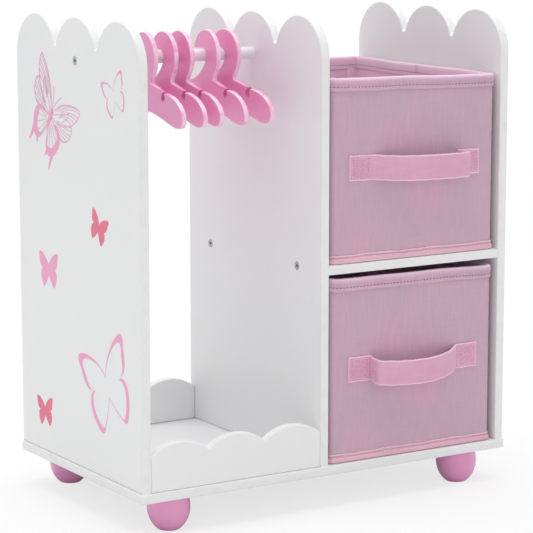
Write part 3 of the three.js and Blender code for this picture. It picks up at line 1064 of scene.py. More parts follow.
class Carcass:
    """The painted boards, the hanging rail, the screws and the egg-shaped feet."""

    def __init__(self, sizes: CaseSizes) -> None:
        """Keeps the sizes."""
        self.sizes = sizes

    def build(self) -> None:
        """Makes every piece of the case."""
        self.base()
        self.uprights()
        self.shelf()
        self.foot_rails()
        self.hanging_rail()
        self.screws()
        self.feet()

    def painted(self, node: str, surface: Surface) -> None:
        """Makes the painted piece that stands for a board."""
        piece(f"{node}_painted", surface, PAINT, "case", (node,))

    def base(self) -> None:
        """Makes the base board, with screw holes from below."""
        s = self.sizes
        outline = rounded_rectangle(s.width + 2 * s.overhang, s.depth + 2 * s.overhang, s.corner)
        x, y = s.width / 2, s.depth / 2
        holes = tuple(Counterbore(u - x, v - y, False) for u, v in self.base_screws().values())
        slab = board(outline, s.board, s.round_edge, holes=holes)
        self.painted("base_board", slab.moved(LEVEL, (x, y, 0)))

    def base_screws(self) -> dict[str, tuple[float, float]]:
        """Gives where each screw enters the base board from below, uprights first.

        Returns:
            The place of each screw across and back, by its name.
        """
        s = self.sizes
        middle, inset = s.board / 2, s.foot_rail_screw_inset
        uprights = {"left": middle, "divider": s.divider + middle, "right": s.right + middle}
        rails = {"left": s.board + inset, "right": s.divider - inset}
        into_uprights = {f"base_screw_{side}_{end}": (x, y) for side, x in uprights.items()
                         for end, y in s.ends(s.base_screw_inset).items()}
        into_rails = {f"foot_rail_screw_{end}_{side}": (x, y) for end, y in s.ends(middle).items()
                      for side, x in rails.items()}
        return into_uprights | into_rails

    def uprights(self) -> None:
        """Makes the two side panels and the divider, each with its own screw holes."""
        s = self.sizes
        outline = lobed_outline(s.depth, s.panel_height, s.lobes, s.depth / (2 * s.lobes), s.panel_valley,
                                lobe_steps=44, valley_steps=12)
        rail = [(s.depth / 2, s.rail_height - s.board)]
        shelf = [(y, s.shelf - s.board / 2) for y in s.ends(s.shelf_screw_inset).values()]
        uprights = (("left_side_panel", 0.0, rail, []), ("divider_panel", s.divider, shelf, rail),
                    ("right_side_panel", s.right, [], shelf))
        for node, x, from_left, from_right in uprights:
            holes = [Counterbore(*at, False) for at in from_left]
            holes += [Counterbore(*at, True) for at in from_right]
            upright = board(outline, s.board, s.round_edge, holes=tuple(holes))
            self.painted(node, upright.moved(ACROSS, (x, 0, s.board)))

    def shelf(self) -> None:
        """Makes the shelf between the bins, square at its ends."""
        s = self.sizes
        outline = rounded_rectangle(s.depth - 2 * s.shelf_setback, s.board, s.round_edge, 6)
        outline += (s.depth / 2, s.board / 2)
        shelf = board(outline, s.bin_bay, round_edge=0.15, steps=2)
        self.painted("bin_shelf", shelf.moved(ACROSS, (s.bins, 0, s.shelf)))

    def foot_rails(self) -> None:
        """Makes the scalloped rails at the foot of the hanging bay."""
        s = self.sizes
        outline = lobed_outline(s.hanging_bay, s.foot_rail_height, s.lobes, s.foot_rail_lobe,
                                s.foot_rail_valley, lobe_steps=28, valley_steps=10)
        for node, y in (("front_foot_rail", s.board), ("back_foot_rail", s.depth)):
            self.painted(node, board(outline, s.board, s.round_edge).moved(ALONG, (s.board, y, s.board)))

    def hanging_rail(self) -> None:
        """Makes the round rail between the left panel and the divider."""
        s = self.sizes
        radius, long = s.rail_radius, s.hanging_bay
        rail = turned(np.array(((0, 0), (radius, 0), (radius, long), (0, long)), float), steps=64)
        self.painted("hanging_rail", rail.moved(ACROSS, (s.board, s.depth / 2, s.rail_height)))

    def screws(self) -> None:
        """Makes every screw: a head with a six-sided socket, its shank and its tip."""
        s = self.sizes
        head, head_edge, head_height = 4.0, 0.45, 2.6
        shank, shank_end, tip = 2.1, 29.0, 32.0
        socket, socket_depth, bevel = 1.7, 1.5, 0.12
        profile = np.vstack([
            [(0, socket_depth), (socket, socket_depth), (socket, bevel), (socket + bevel, 0)],
            arc(head - head_edge, head_edge, head_edge, -QUARTER, 0, 4),
            [(head, head_height), (shank, head_height), (shank, shank_end), (0, tip)],
        ])
        screw = turned(profile, 48, hexagon=socket)
        middle = s.shelf + s.board / 2
        driven = {
            "hanging_rail_screw_left": (ACROSS, (0, s.depth / 2, s.rail_height)),
            "hanging_rail_screw_right": (BACK_ACROSS, (s.bins, s.depth / 2, s.rail_height)),
        }
        for end, y in s.ends(s.shelf_screw_inset).items():
            driven[f"shelf_screw_left_{end}"] = (ACROSS, (s.divider, y, middle))
            driven[f"shelf_screw_right_{end}"] = (BACK_ACROSS, (s.width, y, middle))
        for name, (x, y) in self.base_screws().items():
            driven[name] = (LEVEL, (x, y, 0))
        for name, (turn, place) in driven.items():
            piece(f"{name}_driven", screw.moved(turn, place), ZINC, "case", (name,))

    def feet(self) -> None:
        """Makes the egg-shaped feet, cut flat under the base and where they stand."""
        radius, height, widest, pad, gap = 20.8, 34.0, 22.0, 10.2, 0.02
        low = -math.acos(pad / radius)
        tall = widest / math.sin(-low)
        high = math.asin((height - widest) / tall)
        oval = arc(0, 0, 1, low, high, 40) * (radius, tall) + (0, widest - height)
        oval[-1, 1] = -gap
        shape = turned(np.vstack([[(0, -height)], oval, [(0, -gap)]]), steps=72)
        s = self.sizes
        for end, y in s.ends(s.foot_inset).items():
            for side, x in (("left", s.foot_side_inset), ("right", s.width - s.foot_side_inset)):
                node = f"foot_{end}_{side}"
                piece(f"{node}_lacquered", shape.moved(LEVEL, (x, y, 0)), FOOT_PINK, "case", (node,))
        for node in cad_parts.values():
            if node.name.startswith("foot_stud"):
                refinished(node, ZINC)


# Butterflies

# How far the ink stands off the paint, and each stroke off the last.
INK_LIFT = 0.06
STROKE_LIFT = 0.003


class WingStyle(Enum):
    """How a butterfly is printed."""

    SOLID = "solid"
    OUTLINE = "outline"
    VEINED = "veined"


def stroke(line: np.ndarray, widths: np.ndarray) -> Surface:
    """Draws a flat line of changing width: the line let out to both sides by half its width.

    Args:
        line: The line's points as rows of two.
        widths: The width at each point.

    Returns:
        The stroke in the plane of its first two axes.
    """
    out = mitres(line, closed=False) * widths[:, None] / 2
    return grid(levelled(np.stack([line - out, line + out], 1)))


def filled(outline: np.ndarray) -> Surface:
    """Fills a flat outline with triangles.

    Args:
        outline: The outline's points as rows of two.

    Returns:
        The filled shape in the plane of its first two axes.
    """
    flat = levelled(outline)
    return Surface(flat, [tuple(t) for t in tessellate_polygon([[Vector(p) for p in flat]])])


@dataclass(frozen=True)
class Butterfly:
    """A butterfly printed on the left side's outer face.

    Attributes:
        name: The piece's name.
        style: How it is printed.
        ink: Its finish.
        from_front: Distance of its middle from the front edge.
        height: Height of its middle.
        reach: Length of a fore wing.
        turn: How far it is turned anticlockwise, in degrees, seen from outside.
        line: Width of its outline, as a share of the distance from the body.
    """

    name: str
    style: WingStyle
    ink: PrintedFilm
    from_front: float
    height: float
    reach: float
    turn: float
    line: float = 0.14

    def build(self) -> None:
        """Prints the butterfly a hair above the paint, each stroke a hair above the last."""
        makers = {WingStyle.SOLID: self.solid, WingStyle.OUTLINE: self.outlined,
                  WingStyle.VEINED: self.veined}
        parts = makers[self.style]()
        flat = joined([part.moved(LEVEL, (0, 0, STROKE_LIFT * i)) for i, part in enumerate(parts)])
        drawn = flat.points[:, :2] @ turning(math.radians(self.turn)).T * self.reach
        level = -INK_LIFT - flat.points[:, 2]
        placed = np.stack([level, self.from_front - drawn[:, 0], self.height + drawn[:, 1]], 1)
        faces = [self.facing_out(placed, face) for face in flat.faces]
        piece(self.name, Surface(placed, faces), self.ink, "case", closed=False)

    @staticmethod
    def facing_out(points: np.ndarray, face: tuple[int, ...]) -> tuple[int, ...]:
        """Orders a face's points so that it faces away from the panel.

        Args:
            points: The butterfly's points.
            face: The point numbers of one of its faces.

        Returns:
            The numbers, turned round where the face's signed area over depth and height is positive.
        """
        corners = points[list(face)][:, 1:]
        beside = np.roll(corners, -1, 0)
        area = (corners[:, 0] * beside[:, 1] - beside[:, 0] * corners[:, 1]).sum()
        return tuple(reversed(face)) if area > 0 else face

    @staticmethod
    def right_wings(steps: int = 14) -> np.ndarray:
        """Draws the right half's outline from the head down to the tail, in shares of the reach.

        Args:
            steps: How many steps most of the curves are cut into.

        Returns:
            Six joined Bezier curves: leading edge, fore tip, margin to the waist, hind margin, hind
            tip, and the way back to the tail.
        """
        return chained((0.0, 0.18), [
            ([(0.08, 0.38), (0.36, 0.66), (0.7, 0.72)], steps),
            ([(0.83, 0.74), (0.84, 0.62), (0.79, 0.5)], steps),
            ([(0.74, 0.36), (0.8, 0.12), (0.5, 0.05)], steps),
            ([(0.72, 0.0), (0.72, -0.3), (0.56, -0.54)], steps),
            ([(0.5, -0.66), (0.42, -0.72), (0.36, -0.65)], steps // 2),
            ([(0.24, -0.52), (0.1, -0.38), (0.0, -0.18)], steps),
        ])

    def solid(self) -> list[Surface]:
        """Fills both halves as one shape.

        Returns:
            The one filled shape.
        """
        right = self.right_wings()
        left = right[::-1][1:-1] * (-1, 1)
        return [filled(np.vstack([right, left])[::-1])]

    def outlined(self) -> list[Surface]:
        """Draws each half between its outline and the same drawn in towards the body.

        So the line is hair-thin where it runs to the body, and widest at the wing tips.

        Returns:
            The two bands.
        """
        right = self.right_wings(18)
        inner = right * (1 - self.line)
        inner[:, 1] = inner[:, 1] - 0.02 * np.abs(right[:, 0])
        band = levelled(np.stack([right, inner], 1))
        return [grid(band * (side, 1, 1)) for side in (1, -1)]

    def veined(self) -> list[Surface]:
        """Draws a swallowtail: fine veins, a broad hind border with tails, a body and feelers.

        Returns:
            Its strokes and borders, and the filled body.
        """
        leading = bezier([(0.03, 0.07), (0.14, 0.4), (0.46, 0.6), (0.74, 0.67)], 22)
        fore_margin = bezier([(0.74, 0.67), (0.8, 0.56), (0.7, 0.4), (0.62, 0.3)], 18)
        margin = bezier([(0.62, 0.3), (0.76, 0.24), (0.7, 0.0), (0.52, -0.08)], 20)
        waist = bezier([(0.52, -0.08), (0.4, -0.12), (0.2, -0.04), (0.04, 0.0)], 16)
        hind = chained((0.1, -0.02), [
            ([(0.34, 0.03), (0.52, -0.1), (0.46, -0.3)], 14),
            ([(0.44, -0.4), (0.38, -0.54), (0.27, -0.56)], 10),
            ([(0.14, -0.58), (0.07, -0.44), (0.03, -0.24)], 12),
        ])
        strokes = [
            (leading, 0.016, 0.016), (fore_margin, 0.016, 0.014), (margin, 0.014, 0.018),
            (waist, 0.02, 0.014),
            (bezier([(0.62, 0.3), (0.44, 0.1), (0.2, 0.02), (0.04, 0.02)], 14), 0.014, 0.014),
            (bezier([(0.04, 0.05), (0.2, 0.22), (0.4, 0.3), (0.46, 0.42)], 14), 0.014, 0.012),
            (bezier([(0.46, 0.42), (0.5, 0.34), (0.44, 0.26), (0.36, 0.17)], 8), 0.012, 0.012),
            (bezier([(0.36, -0.48), (0.36, -0.58), (0.37, -0.66), (0.39, -0.74)], 10), 0.08, 0.03),
            (bezier([(0.2, -0.5), (0.18, -0.56), (0.17, -0.6), (0.16, -0.63)], 6), 0.08, 0.015),
            (bezier([(0.01, 0.1), (0.03, 0.26), (0.08, 0.38), (0.15, 0.47)], 12), 0.012, 0.02),
        ]
        strokes += self.veins((0.05, 0.06), np.vstack([leading[10:], fore_margin]), 9, 0.1, 0.013, 0.32)
        strokes += self.veins((0.05, 0.02), margin, 6, -0.04, 0.013, 0.28)
        strokes += self.veins((0.03, -0.05), hind[8:30] * 0.9, 5, -0.04, 0.014, 0.16)
        half = [stroke(line, np.linspace(start, stop, len(line))) for line, start, stop in strokes]
        inner = hind * (0.74, 0.76) + (0.01, -0.02)
        half.append(grid(levelled(np.stack([hind, inner], 1))))
        other = [Surface(s.points * (-1, 1, 1), s.faces) for s in half]
        body = bezier([(0, 0.15), (0.075, 0.08), (0.05, -0.1), (0, -0.28)], 14)
        return half + other + [filled(np.vstack([body, (body[::-1] * (-1, 1))[1:-1]])[::-1])]

    @staticmethod
    def veins(root: tuple[float, float], rim: np.ndarray, count: int, bow: float,
              width: float, clear: float) -> list[tuple[np.ndarray, float, float]]:
        """Draws veins that fan from round a wing's root to its rim.

        Args:
            root: Where they would meet.
            rim: The rim's points.
            count: How many there are.
            bow: How far each bows sideways, as a share of its length.
            width: Their width at the rim.
            clear: Share of the way that is left clear round the root.

        Returns:
            Each vein's line and its widths at both ends.
        """
        shares = clear + (1 - clear) * np.array([[0.0], [0.35], [0.7], [1.0]])
        bowed = bow * np.array([[clear], [1.0], [1.0], [0.0]])
        ways = rim[np.linspace(1, len(rim) - 2, count).astype(int)] - root
        lines = [bezier(root + way * shares + (-way[1], way[0]) * bowed, 12) for way in ways]
        return [(line, width / 2, width) for line in lines]


BUTTERFLIES = (
    Butterfly("veined_butterfly", WingStyle.VEINED, PALE_INK, 180.8, 349.2, 63.8, -33.6),
    Butterfly("small_outlined_butterfly", WingStyle.OUTLINE, PALE_INK, 48.0, 379.0, 27, 20.2, 0.125),
    Butterfly("high_rose_butterfly", WingStyle.SOLID, ROSE_INK, 82.5, 250.8, 20.8, -18.7),
    Butterfly("pale_butterfly", WingStyle.SOLID, PALE_INK, 189.4, 195.6, 25.2, 1.6),
    Butterfly("large_outlined_butterfly", WingStyle.OUTLINE, PALE_INK, 68.3, 99.7, 59.4, 22.1),
    Butterfly("low_rose_butterfly", WingStyle.SOLID, ROSE_INK, 202.2, 50.1, 21.2, 4.0),
)


# Hangers


@dataclass(frozen=True)
class Hanger:
    """A flat moulded hanger for doll clothes, drawn about the rail's middle with its front to the left.

    Attributes:
        number: Its number along the rail.
        share: Where it hangs, as a share of the bay's width.
        yaw: How far it is turned about the upright, in radians.
    """

    number: int
    share: float
    yaw: float
    thickness: float = 5.0
    half_span: float = 87.0
    height: float = 87.6
    round_edge: float = 0.9
    hook: float = 25.2
    hook_forward: float = 4.0
    drop: float = 24.4
    reach: float = 23.5
    arch: float = 12.4
    seat: float = 6.3
    notch_reach: float = 46.8
    notch_depth: float = 10.8
    notch_radius: float = 3.4

    def notch(self) -> np.ndarray:
        """Draws the round strap notch under the arm's top edge, with its narrow leaning mouth.

        Returns:
            Its points from the neck side of the mouth, round the circle, to the tip side.
        """
        radius, mouth, rise, lean = self.notch_radius, 3.2, 5.0, 0.3
        middle = np.array((-self.notch_reach, -self.drop - self.notch_depth))
        angle = QUARTER + lean
        lip = math.asin(mouth / (2 * radius))
        lips = [turning(angle) @ (rise, way * mouth / 2) + middle for way in (-1, 1)]
        circle = arc(*middle, radius, angle - lip, angle + lip - FULL_TURN, 28)
        return np.vstack([lips[0], circle, lips[1]])

    def front_half(self) -> np.ndarray:
        """Draws the body from the neck out along the front arm and back to the underside's middle.

        Returns:
            The points, of the notch's arc and of three Bezier curves: top, tip and arch.
        """
        lowest = self.hook - self.height
        under = lowest + self.arch
        fall = (-lowest - self.drop) / 4
        span = self.half_span
        notch = self.notch()
        arm = chained(notch[-1], [
            ([(-span * 0.78, -self.drop - fall * 0.72), (-span, -self.drop - fall * 1.75),
              (-span, lowest + fall)], 26),
            ([(-span, lowest + fall * 0.3), (-span * 0.96, lowest), (-span * 0.86, lowest)], 16),
            ([(-span * 0.7, lowest), (-span * 0.4, under), (0, under)], 26),
        ])
        return np.vstack([[(-self.reach, -self.drop)], notch, arm[1:]])

    def outline(self) -> np.ndarray:
        """Draws the whole hanger: hook, neck, front half, its mirror, throat and rail seat.

        Returns:
            The outline, anticlockwise.
        """
        front = self.front_half()
        rear = front[1:-1][::-1] * (-1, 1)
        hook_end, seat_start = 3.92, 3.58
        hook = arc(-self.hook_forward, 0, self.hook, math.asin(self.seat / self.hook), hook_end, 56)
        neck = bezier([tuple(hook[-1]), (-self.reach * 0.76, -self.drop * 0.98), tuple(front[0])], 12)
        seat = arc(0, 0, self.seat, seat_start, QUARTER, 22)
        throat = bezier([(self.reach, -self.drop), (self.reach * 0.52, -self.drop * 0.93),
                         (-self.seat * 0.45, -self.drop * 0.45), tuple(seat[0])], 22)
        return np.vstack([hook, neck[1:-1], front, rear, throat[:-1], seat])

    def build(self) -> None:
        """Moulds the hanger and hangs it on the rail."""
        flat = board(self.outline(), self.thickness, self.round_edge, steps=3)
        u, v = flat.points[:, 0], flat.points[:, 1]
        from_notch = np.hypot(np.abs(u) - self.notch_reach, v + self.drop + self.notch_depth)
        beside = from_notch < self.notch_radius + 2
        # The notch's walls are marked under zero, for painted shade.
        flat.mark[beside & (flat.mark > 0.01)] = -1.0
        centred = flat.moved(ACROSS, (-self.thickness / 2, 0, 0))
        turn = np.eye(3)
        turn[:2, :2] = turning(self.yaw)
        place = (SIZES.board + SIZES.hanging_bay * self.share, SIZES.depth / 2, SIZES.rail_height)
        node = f"hanger_{self.number}"
        piece(f"{node}_moulded", centred.moved(turn, place), HANGER_PINK, node, (node,))


HANGERS = tuple(Hanger(i + 1, share, yaw) for i, (share, yaw) in enumerate(
    ((0.342, -0.045), (0.458, -0.03), (0.5505, -0.02), (0.714, -0.065), (0.8245, 0.035))))


# Fabric bins

# Steps in each rounded corner of a bin, and points along each sewn end of a strap.
CORNER_STEPS = 8
SEWN_POINTS = 14


@dataclass(frozen=True)
class Ring:
    """A rounded rectangle seen from above, walked round from the back wall's right end.

    Attributes:
        points: Its points as rows of two.
        out: The way outwards at each point.
        along: Distance walked at each point, and at the start again.
        share: Place along the straight side, from 0 to 1, and 0 in the corners.
        side: 0 for back, 1 for left, 2 for front and 3 for right.
    """

    points: np.ndarray
    out: np.ndarray
    along: np.ndarray
    share: np.ndarray
    side: np.ndarray

    @staticmethod
    def drawn(x: float, y: float, half_width: float, half_depth: float, corner: float,
              spacing: float) -> "Ring":
        """Walks round a rounded rectangle.

        Args:
            x: Its middle from left to right.
            y: Its middle from front to back.
            half_width: Half its width.
            half_depth: Half its depth.
            corner: The corners' radius.
            spacing: About how far apart points on the straight sides are.

        Returns:
            The ring.
        """
        w, d = half_width - corner, half_depth - corner
        spots, outs, shares, sides = [], [], [], []
        runs = (((w, half_depth), (-w, half_depth)), ((-half_width, d), (-half_width, -d)),
                ((-w, -half_depth), (w, -half_depth)), ((half_width, -d), (half_width, d)))
        middles = ((-w, d), (-w, -d), (w, -d), (w, d))
        for side, ((start, stop), middle) in enumerate(zip(runs, middles)):
            start, stop = np.array(start), np.array(stop)
            count = int(np.linalg.norm(stop - start) / spacing) + 1
            t = np.linspace(0, 1, count, endpoint=False)
            spots.append(start + (stop - start) * t[:, None])
            angle = QUARTER * (side + 1)
            outs.append(np.tile((math.cos(angle), math.sin(angle)), (count, 1)))
            shares.append(t)
            round_the_corner = arc(0, 0, 1, angle, angle + QUARTER, CORNER_STEPS)[:-1]
            spots.append(corner * round_the_corner + middle)
            outs.append(round_the_corner)
            shares.append(np.zeros(CORNER_STEPS))
            sides.append(np.full(count + CORNER_STEPS, side))
        points = np.vstack(spots) + (x, y)
        return Ring(points, np.vstack(outs), walked(points, closed=True), np.concatenate(shares),
                    np.concatenate(sides))

    @property
    def at(self) -> np.ndarray:
        """Distance walked at each point."""
        return self.along[:-1]

    def swept(self, outwards: np.ndarray, heights: np.ndarray, mark: np.ndarray | None = None) -> Surface:
        """Carries a closed profile round the ring.

        Args:
            outwards: How far out the profile's points are, as profile by ring or profile by one.
            heights: How high they are, in the same shape.
            mark: How sewn or rubbed the profile's points are, or None.

        Returns:
            The closed surface, with the distance round as u and that along the profile as v.
        """
        shape = (len(outwards), len(self.points))
        out, high = np.broadcast_to(outwards, shape), np.broadcast_to(heights, shape)
        flat = self.points[None] + self.out[None] * out[..., None]
        points = np.concatenate([flat, high[..., None]], 2)
        across = walked(np.column_stack([out.mean(1), high.mean(1)]), closed=True)
        u, v = np.meshgrid(self.along, across)
        made = grid(points, np.stack([u, v], 2) * METRES, wrap_rows=True, wrap_columns=True)
        made.mark = None if mark is None else np.repeat(mark, len(self.points))
        return made


def hump(at: np.ndarray, middle: float, reach: float) -> np.ndarray:
    """Gives the exponential of minus the squared distance from the middle, in reaches."""
    return np.exp(-(((at - middle) / reach) ** 2))


def with_ends(skin: Surface, loop: int) -> Surface:
    """Closes a cloth tube with a face at each end.

    Args:
        skin: The tube, as a grid of loops with UVs.
        loop: How many points each loop has.

    Returns:
        The closed surface.
    """
    last = len(skin.points) - loop
    ends = [tuple(range(loop)), tuple(range(last, last + loop))]
    return Surface(skin.points, skin.faces + ends, np.vstack([skin.uv, np.zeros((2 * loop, 2))]))


def stitches(line: np.ndarray, facing: np.ndarray | tuple[float, float, float], pitch: float,
             length: float, width: float) -> Surface:
    """Lays a row of small threads along a line.

    Each thread is a spindle of four rings of five points, whose radius swells to the middle as
    the square root of one minus the square of the place along it. Its two ends sink into the cloth.

    Args:
        line: The line's points as rows of three.
        facing: The way out of the cloth, at each point or for all.
        pitch: Distance from one thread to the next.
        length: Length of a thread.
        width: Width of a thread.

    Returns:
        All threads as one surface.
    """
    along = walked(line)
    at = np.arange(pitch / 2, along[-1] - pitch / 4, pitch)

    def laid(values: np.ndarray, places: np.ndarray) -> np.ndarray:
        """Reads the line's values at places along it."""
        return np.stack([np.interp(places, along, values[:, k]) for k in range(3)], 1)

    reach, low_side, lift, sink = 0.2, 0.7, 0.35, 0.2
    spots = laid(line, at)
    way = laid(line, at + reach) - laid(line, at - reach)
    way /= lengths(way)
    up = laid(np.broadcast_to(facing, line.shape), at)
    up -= way * (up * way).sum(1, keepdims=True)
    up /= lengths(up)
    side = np.cross(way, up)
    t = np.array((-0.98, -0.45, 0.45, 0.98))[:, None]
    swell = np.sqrt(1 - t**2)
    angles = np.linspace(0, FULL_TURN, 5, endpoint=False)
    high = swell * (np.sin(angles) * low_side + lift) * width / 2 - (1 - swell) * sink
    local = np.stack(np.broadcast_arrays(t * length / 2, swell * np.cos(angles) * width / 2, high), 2)
    rings, points_round = local.shape[:2]
    one = grid(local, wrap_columns=True).faces
    count = rings * points_round
    one += [tuple(range(points_round)), tuple(range(count - 1, count - 1 - points_round, -1))]
    x, y, z = np.moveaxis(local.reshape(1, -1, 3, 1), 2, 0)
    points = spots[:, None] + way[:, None] * x + side[:, None] * y + up[:, None] * z
    starts = range(0, len(at) * count, count)
    faces = [tuple(i + start for i in face) for start in starts for face in one]
    return Surface(points.reshape(-1, 3), faces)


@dataclass(frozen=True)
class FabricBin:
    """A cloth-covered box with a bound rim, a bound foot and a pull strap.

    Attributes:
        name: The bin's body.
        floor: Height of its underside.
        rests_on: The board that it stands on. Not used.
        rim_lift: How much higher the cloth's rim is than the board inside it, at the front's left
            end, at its right end, and at the back.
        bow: Knots of the strap's loop from left to right, three to a Bezier curve: place and
            distance off the wall.
        sag: How far the loop's middle hangs down.
        strap_lift: How much higher than the wall's middle the strap's left and right ends are.
        phase: Where its slight waves start, so that the two bins differ.
    """

    name: str
    floor: float
    rests_on: str
    rim_lift: tuple[float, float, float]
    bow: tuple[Knots, ...]
    sag: float
    strap_lift: tuple[float, float]
    phase: float
    height: float = 179.0
    width: float = 194.8
    depth: float = 246.4
    corner: float = 5.0
    wall: float = 2.2
    middle: tuple[float, float] = (309.6, 126.6)
    hem: float = 12.5
    seam: float = 8.0
    piping: float = 7.5
    patch: float = 26.0
    strap_width: float = 25.0
    strap_span: float = 156.0
    strap_thickness: float = 1.6

    @property
    def front(self) -> float:
        """The front wall's face."""
        return self.middle[1] - self.depth / 2

    @property
    def top(self) -> float:
        """The top of the stiff wall."""
        return self.floor + self.height

    def part(self, what: str, surface: Surface, finish: Finish, stands_for: str = "",
             crease: float = 60.0) -> bpy.types.Object:
        """Makes a piece of this bin.

        Args:
            what: What it is.
            surface: What it is made of.
            finish: Its material.
            stands_for: Which of the bin's nodes it takes the place of, if any.
            crease: Edges sharper than this many degrees are shaded sharp.

        Returns:
            The object.
        """
        nodes = (f"{self.name}_{stands_for}",) if stands_for else ()
        return piece(f"{self.name}_{what}", surface, finish, self.name, nodes, crease=crease)

    @cached_property
    def ring(self) -> Ring:
        """The walk round the bin's outer face."""
        return Ring.drawn(*self.middle, self.width / 2, self.depth / 2, self.corner, 4.0)

    @cached_property
    def lift(self) -> np.ndarray:
        """Works out how the rim rises and dips round the bin.

        Returns:
            The front's lift, slanted from left to right, mixed into the back's by the distance from
            the front, plus two low waves and a small peak at each front corner.
        """
        ring = self.ring
        left, right, back = self.rim_lift
        across = (ring.points[:, 0] - self.middle[0]) / self.width + 0.5
        behind = (ring.points[:, 1] - self.front) / self.depth
        mixed = (left * (1 - across) + right * across) * (1 - behind) + back * behind
        turn = ring.at / ring.along[-1] * FULL_TURN
        side = np.abs(ring.points[:, 0] - self.middle[0]) - self.width / 2
        peak = 0.9 * hump(np.hypot(side, ring.points[:, 1] - self.front), 0.0, 4.0)
        return mixed + peak + 0.3 * np.sin(5 * turn + self.phase) + 0.2 * np.sin(11 * turn + 2 * self.phase)

    def pillow(self, up: np.ndarray) -> np.ndarray:
        """Works out how far the cloth stands off its board.

        Args:
            up: Shares of the height, as a column.

        Returns:
            A flat-topped swell over each side, which falls off as the fourth power towards its
            four edges, with slow ripples, and short slanting creases that fade out of the corners.
        """
        ring = self.ring
        across = 1 - np.abs(2 * ring.share - 1) ** 4
        across = np.where(ring.share > 0, across, 0)
        upward = 1 - np.abs(2 * up - 1) ** 4
        swell_of_sides, ripple_length = (0.6, 0.5, 1.0, 0.4), 47.0
        swell = np.array(swell_of_sides)[ring.side] * across * upward
        turn = ring.at / ripple_length
        ripple = np.sin(turn + self.phase) * np.sin(3.1 * up + 2.2 * turn)
        ripple = ripple + 0.6 * np.sin(2.3 * turn - 5 * up)
        side_shares, corner_reach, edge_reach = (1, 1.26, 1, 1.26), 16, 5
        side_lengths = np.array(side_shares) * self.width
        from_side = (1 - np.abs(2 * ring.share - 1)) / 2 * side_lengths[ring.side]
        from_end = (1 - np.abs(2 * up - 1)) / 2 * self.height
        creases = np.sin(0.55 * (from_side + 1.5 * from_end) + self.phase)
        fade = np.exp(-(from_side + from_end) / corner_reach) * (1 - np.exp(-from_side / edge_reach))
        return swell * (1 + 0.18 * ripple) + 0.45 * creases * fade

    @cached_property
    def rim_swell(self) -> np.ndarray:
        """How far the rim binding is pushed out, by a share of the swell near the rim."""
        return 0.6 * self.pillow(np.array([[0.94]]))[0]

    def build(self) -> None:
        """Makes the bin's cloth, bindings, tapes, strap and stitches, and gives its card a finish."""
        walls = self.walls()
        lining = self.lining()
        hem = self.rim_binding()
        foot = self.foot_binding()
        self.floor_cloth()
        self.corner_tapes()
        self.strap()
        seams = self.seams()
        round_it = float(self.ring.along[-1]) * METRES
        refinished(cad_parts[f"{self.name}_floor_insert"], CARD)

    def skin(self, outer: np.ndarray, inner: np.ndarray) -> Surface:
        """Makes the four walls of one cloth as a closed skin.

        Args:
            outer: How far out its outer face is, as height by ring.
            inner: How far out its inner face is.

        Returns:
            The skin, from the foot to the rim. It stops a little short of both ends of the board,
            and its top follows the rim's rise and dip by the sixth power of the height.
        """
        up = np.linspace(0, 1, len(outer))[:, None]
        short = 0.4
        rise = short + up * (self.height - 2 * short) + self.lift * up**6
        heights = self.floor + np.vstack([rise, rise[::-1]])
        return self.ring.swept(np.vstack([outer, inner[::-1]]), heights)

    def walls(self) -> bpy.types.Object:
        """Makes the outer cloth, stretched over the boards.

        Returns:
            The cloth.
        """
        rows, into_wall = 60, 1.0
        outer = self.pillow(np.linspace(0, 1, rows)[:, None])
        surface = self.skin(outer, np.full_like(outer, -into_wall))
        return self.part("walls", surface, BIN_CLOTH, "shell", crease=50)

    def lining(self) -> bpy.types.Object:
        """Makes the paler cloth inside, whose colour is raised as painted light against the bin's shade.

        Returns:
            The cloth.
        """
        rows, into_wall = 40, 1.1
        swell = self.pillow(np.linspace(0, 1, rows)[:, None])
        surface = self.skin(np.full_like(swell, -into_wall), -self.wall - 0.5 * swell)
        return self.part("lining", surface, LINING, crease=50)

    def rim_binding(self) -> bpy.types.Object:
        """Makes the binding folded over the rim, drawn in where it is sewn.

        Its section is a polygon whose corners are cut twice, with heights counted from the rim. It
        is pushed out with the cloth under it, puckered by the product of a quick and a slow sine,
        and its edge wanders by a long one. Humps of painted highlight pale the top fold, the upper
        outer face and the fold near the lower edge, the inside is painted pale against the shade in
        the bin, and one hump paints a shadow line along the lower edge outside.

        Returns:
            The binding.
        """
        seam, hem, wall = self.seam, self.hem, self.wall
        outside = [(0.35, -hem), (1.1, -hem + 0.1), (1.35, -hem + 1.2), (1.35, -seam - 1.3), (1.2, -seam),
                   (1.4, -seam + 1.1), (1.65, -seam + 2.6), (1.7, -3.4), (1.55, -1.6), (1.1, -0.4),
                   (0.4, 0.55)]
        over = [(-0.5, 0.95), (-wall / 2 - 0.6, 1.0), (-wall - 0.2, 0.75)]
        inside = [(-wall - 1.0, -0.2), (-wall - 1.4, -1.6), (-wall - 1.5, -4.0),
                  (-wall - 1.4, -seam + 2.0), (-wall - 1.3, -seam), (-wall - 1.2, -seam - 1.4),
                  (-wall - 1.0, -hem + 0.2), (-wall - 0.35, -hem)]
        under = [(-wall - 0.3, -hem + 0.5), (-wall - 0.15, -0.6), (0.05, -0.6), (0.3, -hem + 0.5)]
        dense = self.smoothed(np.array(outside + over + inside + under), 2)
        out, up = dense[:, :1], dense[:, 1:]
        at, swell = self.ring.at, self.rim_swell
        puckers = 0.16 * np.sin(at * 1.9 + self.phase) * np.sin(at * 0.31) + 0.12 * np.sin(at * 0.53)
        outwards = out + np.where(out > -wall / 2, swell, -0.5 * swell) + puckers * np.clip(out, 0, 1)
        wander = 0.25 * np.sin(at * 0.11 + self.phase) * np.clip(-up / hem, 0, 1)
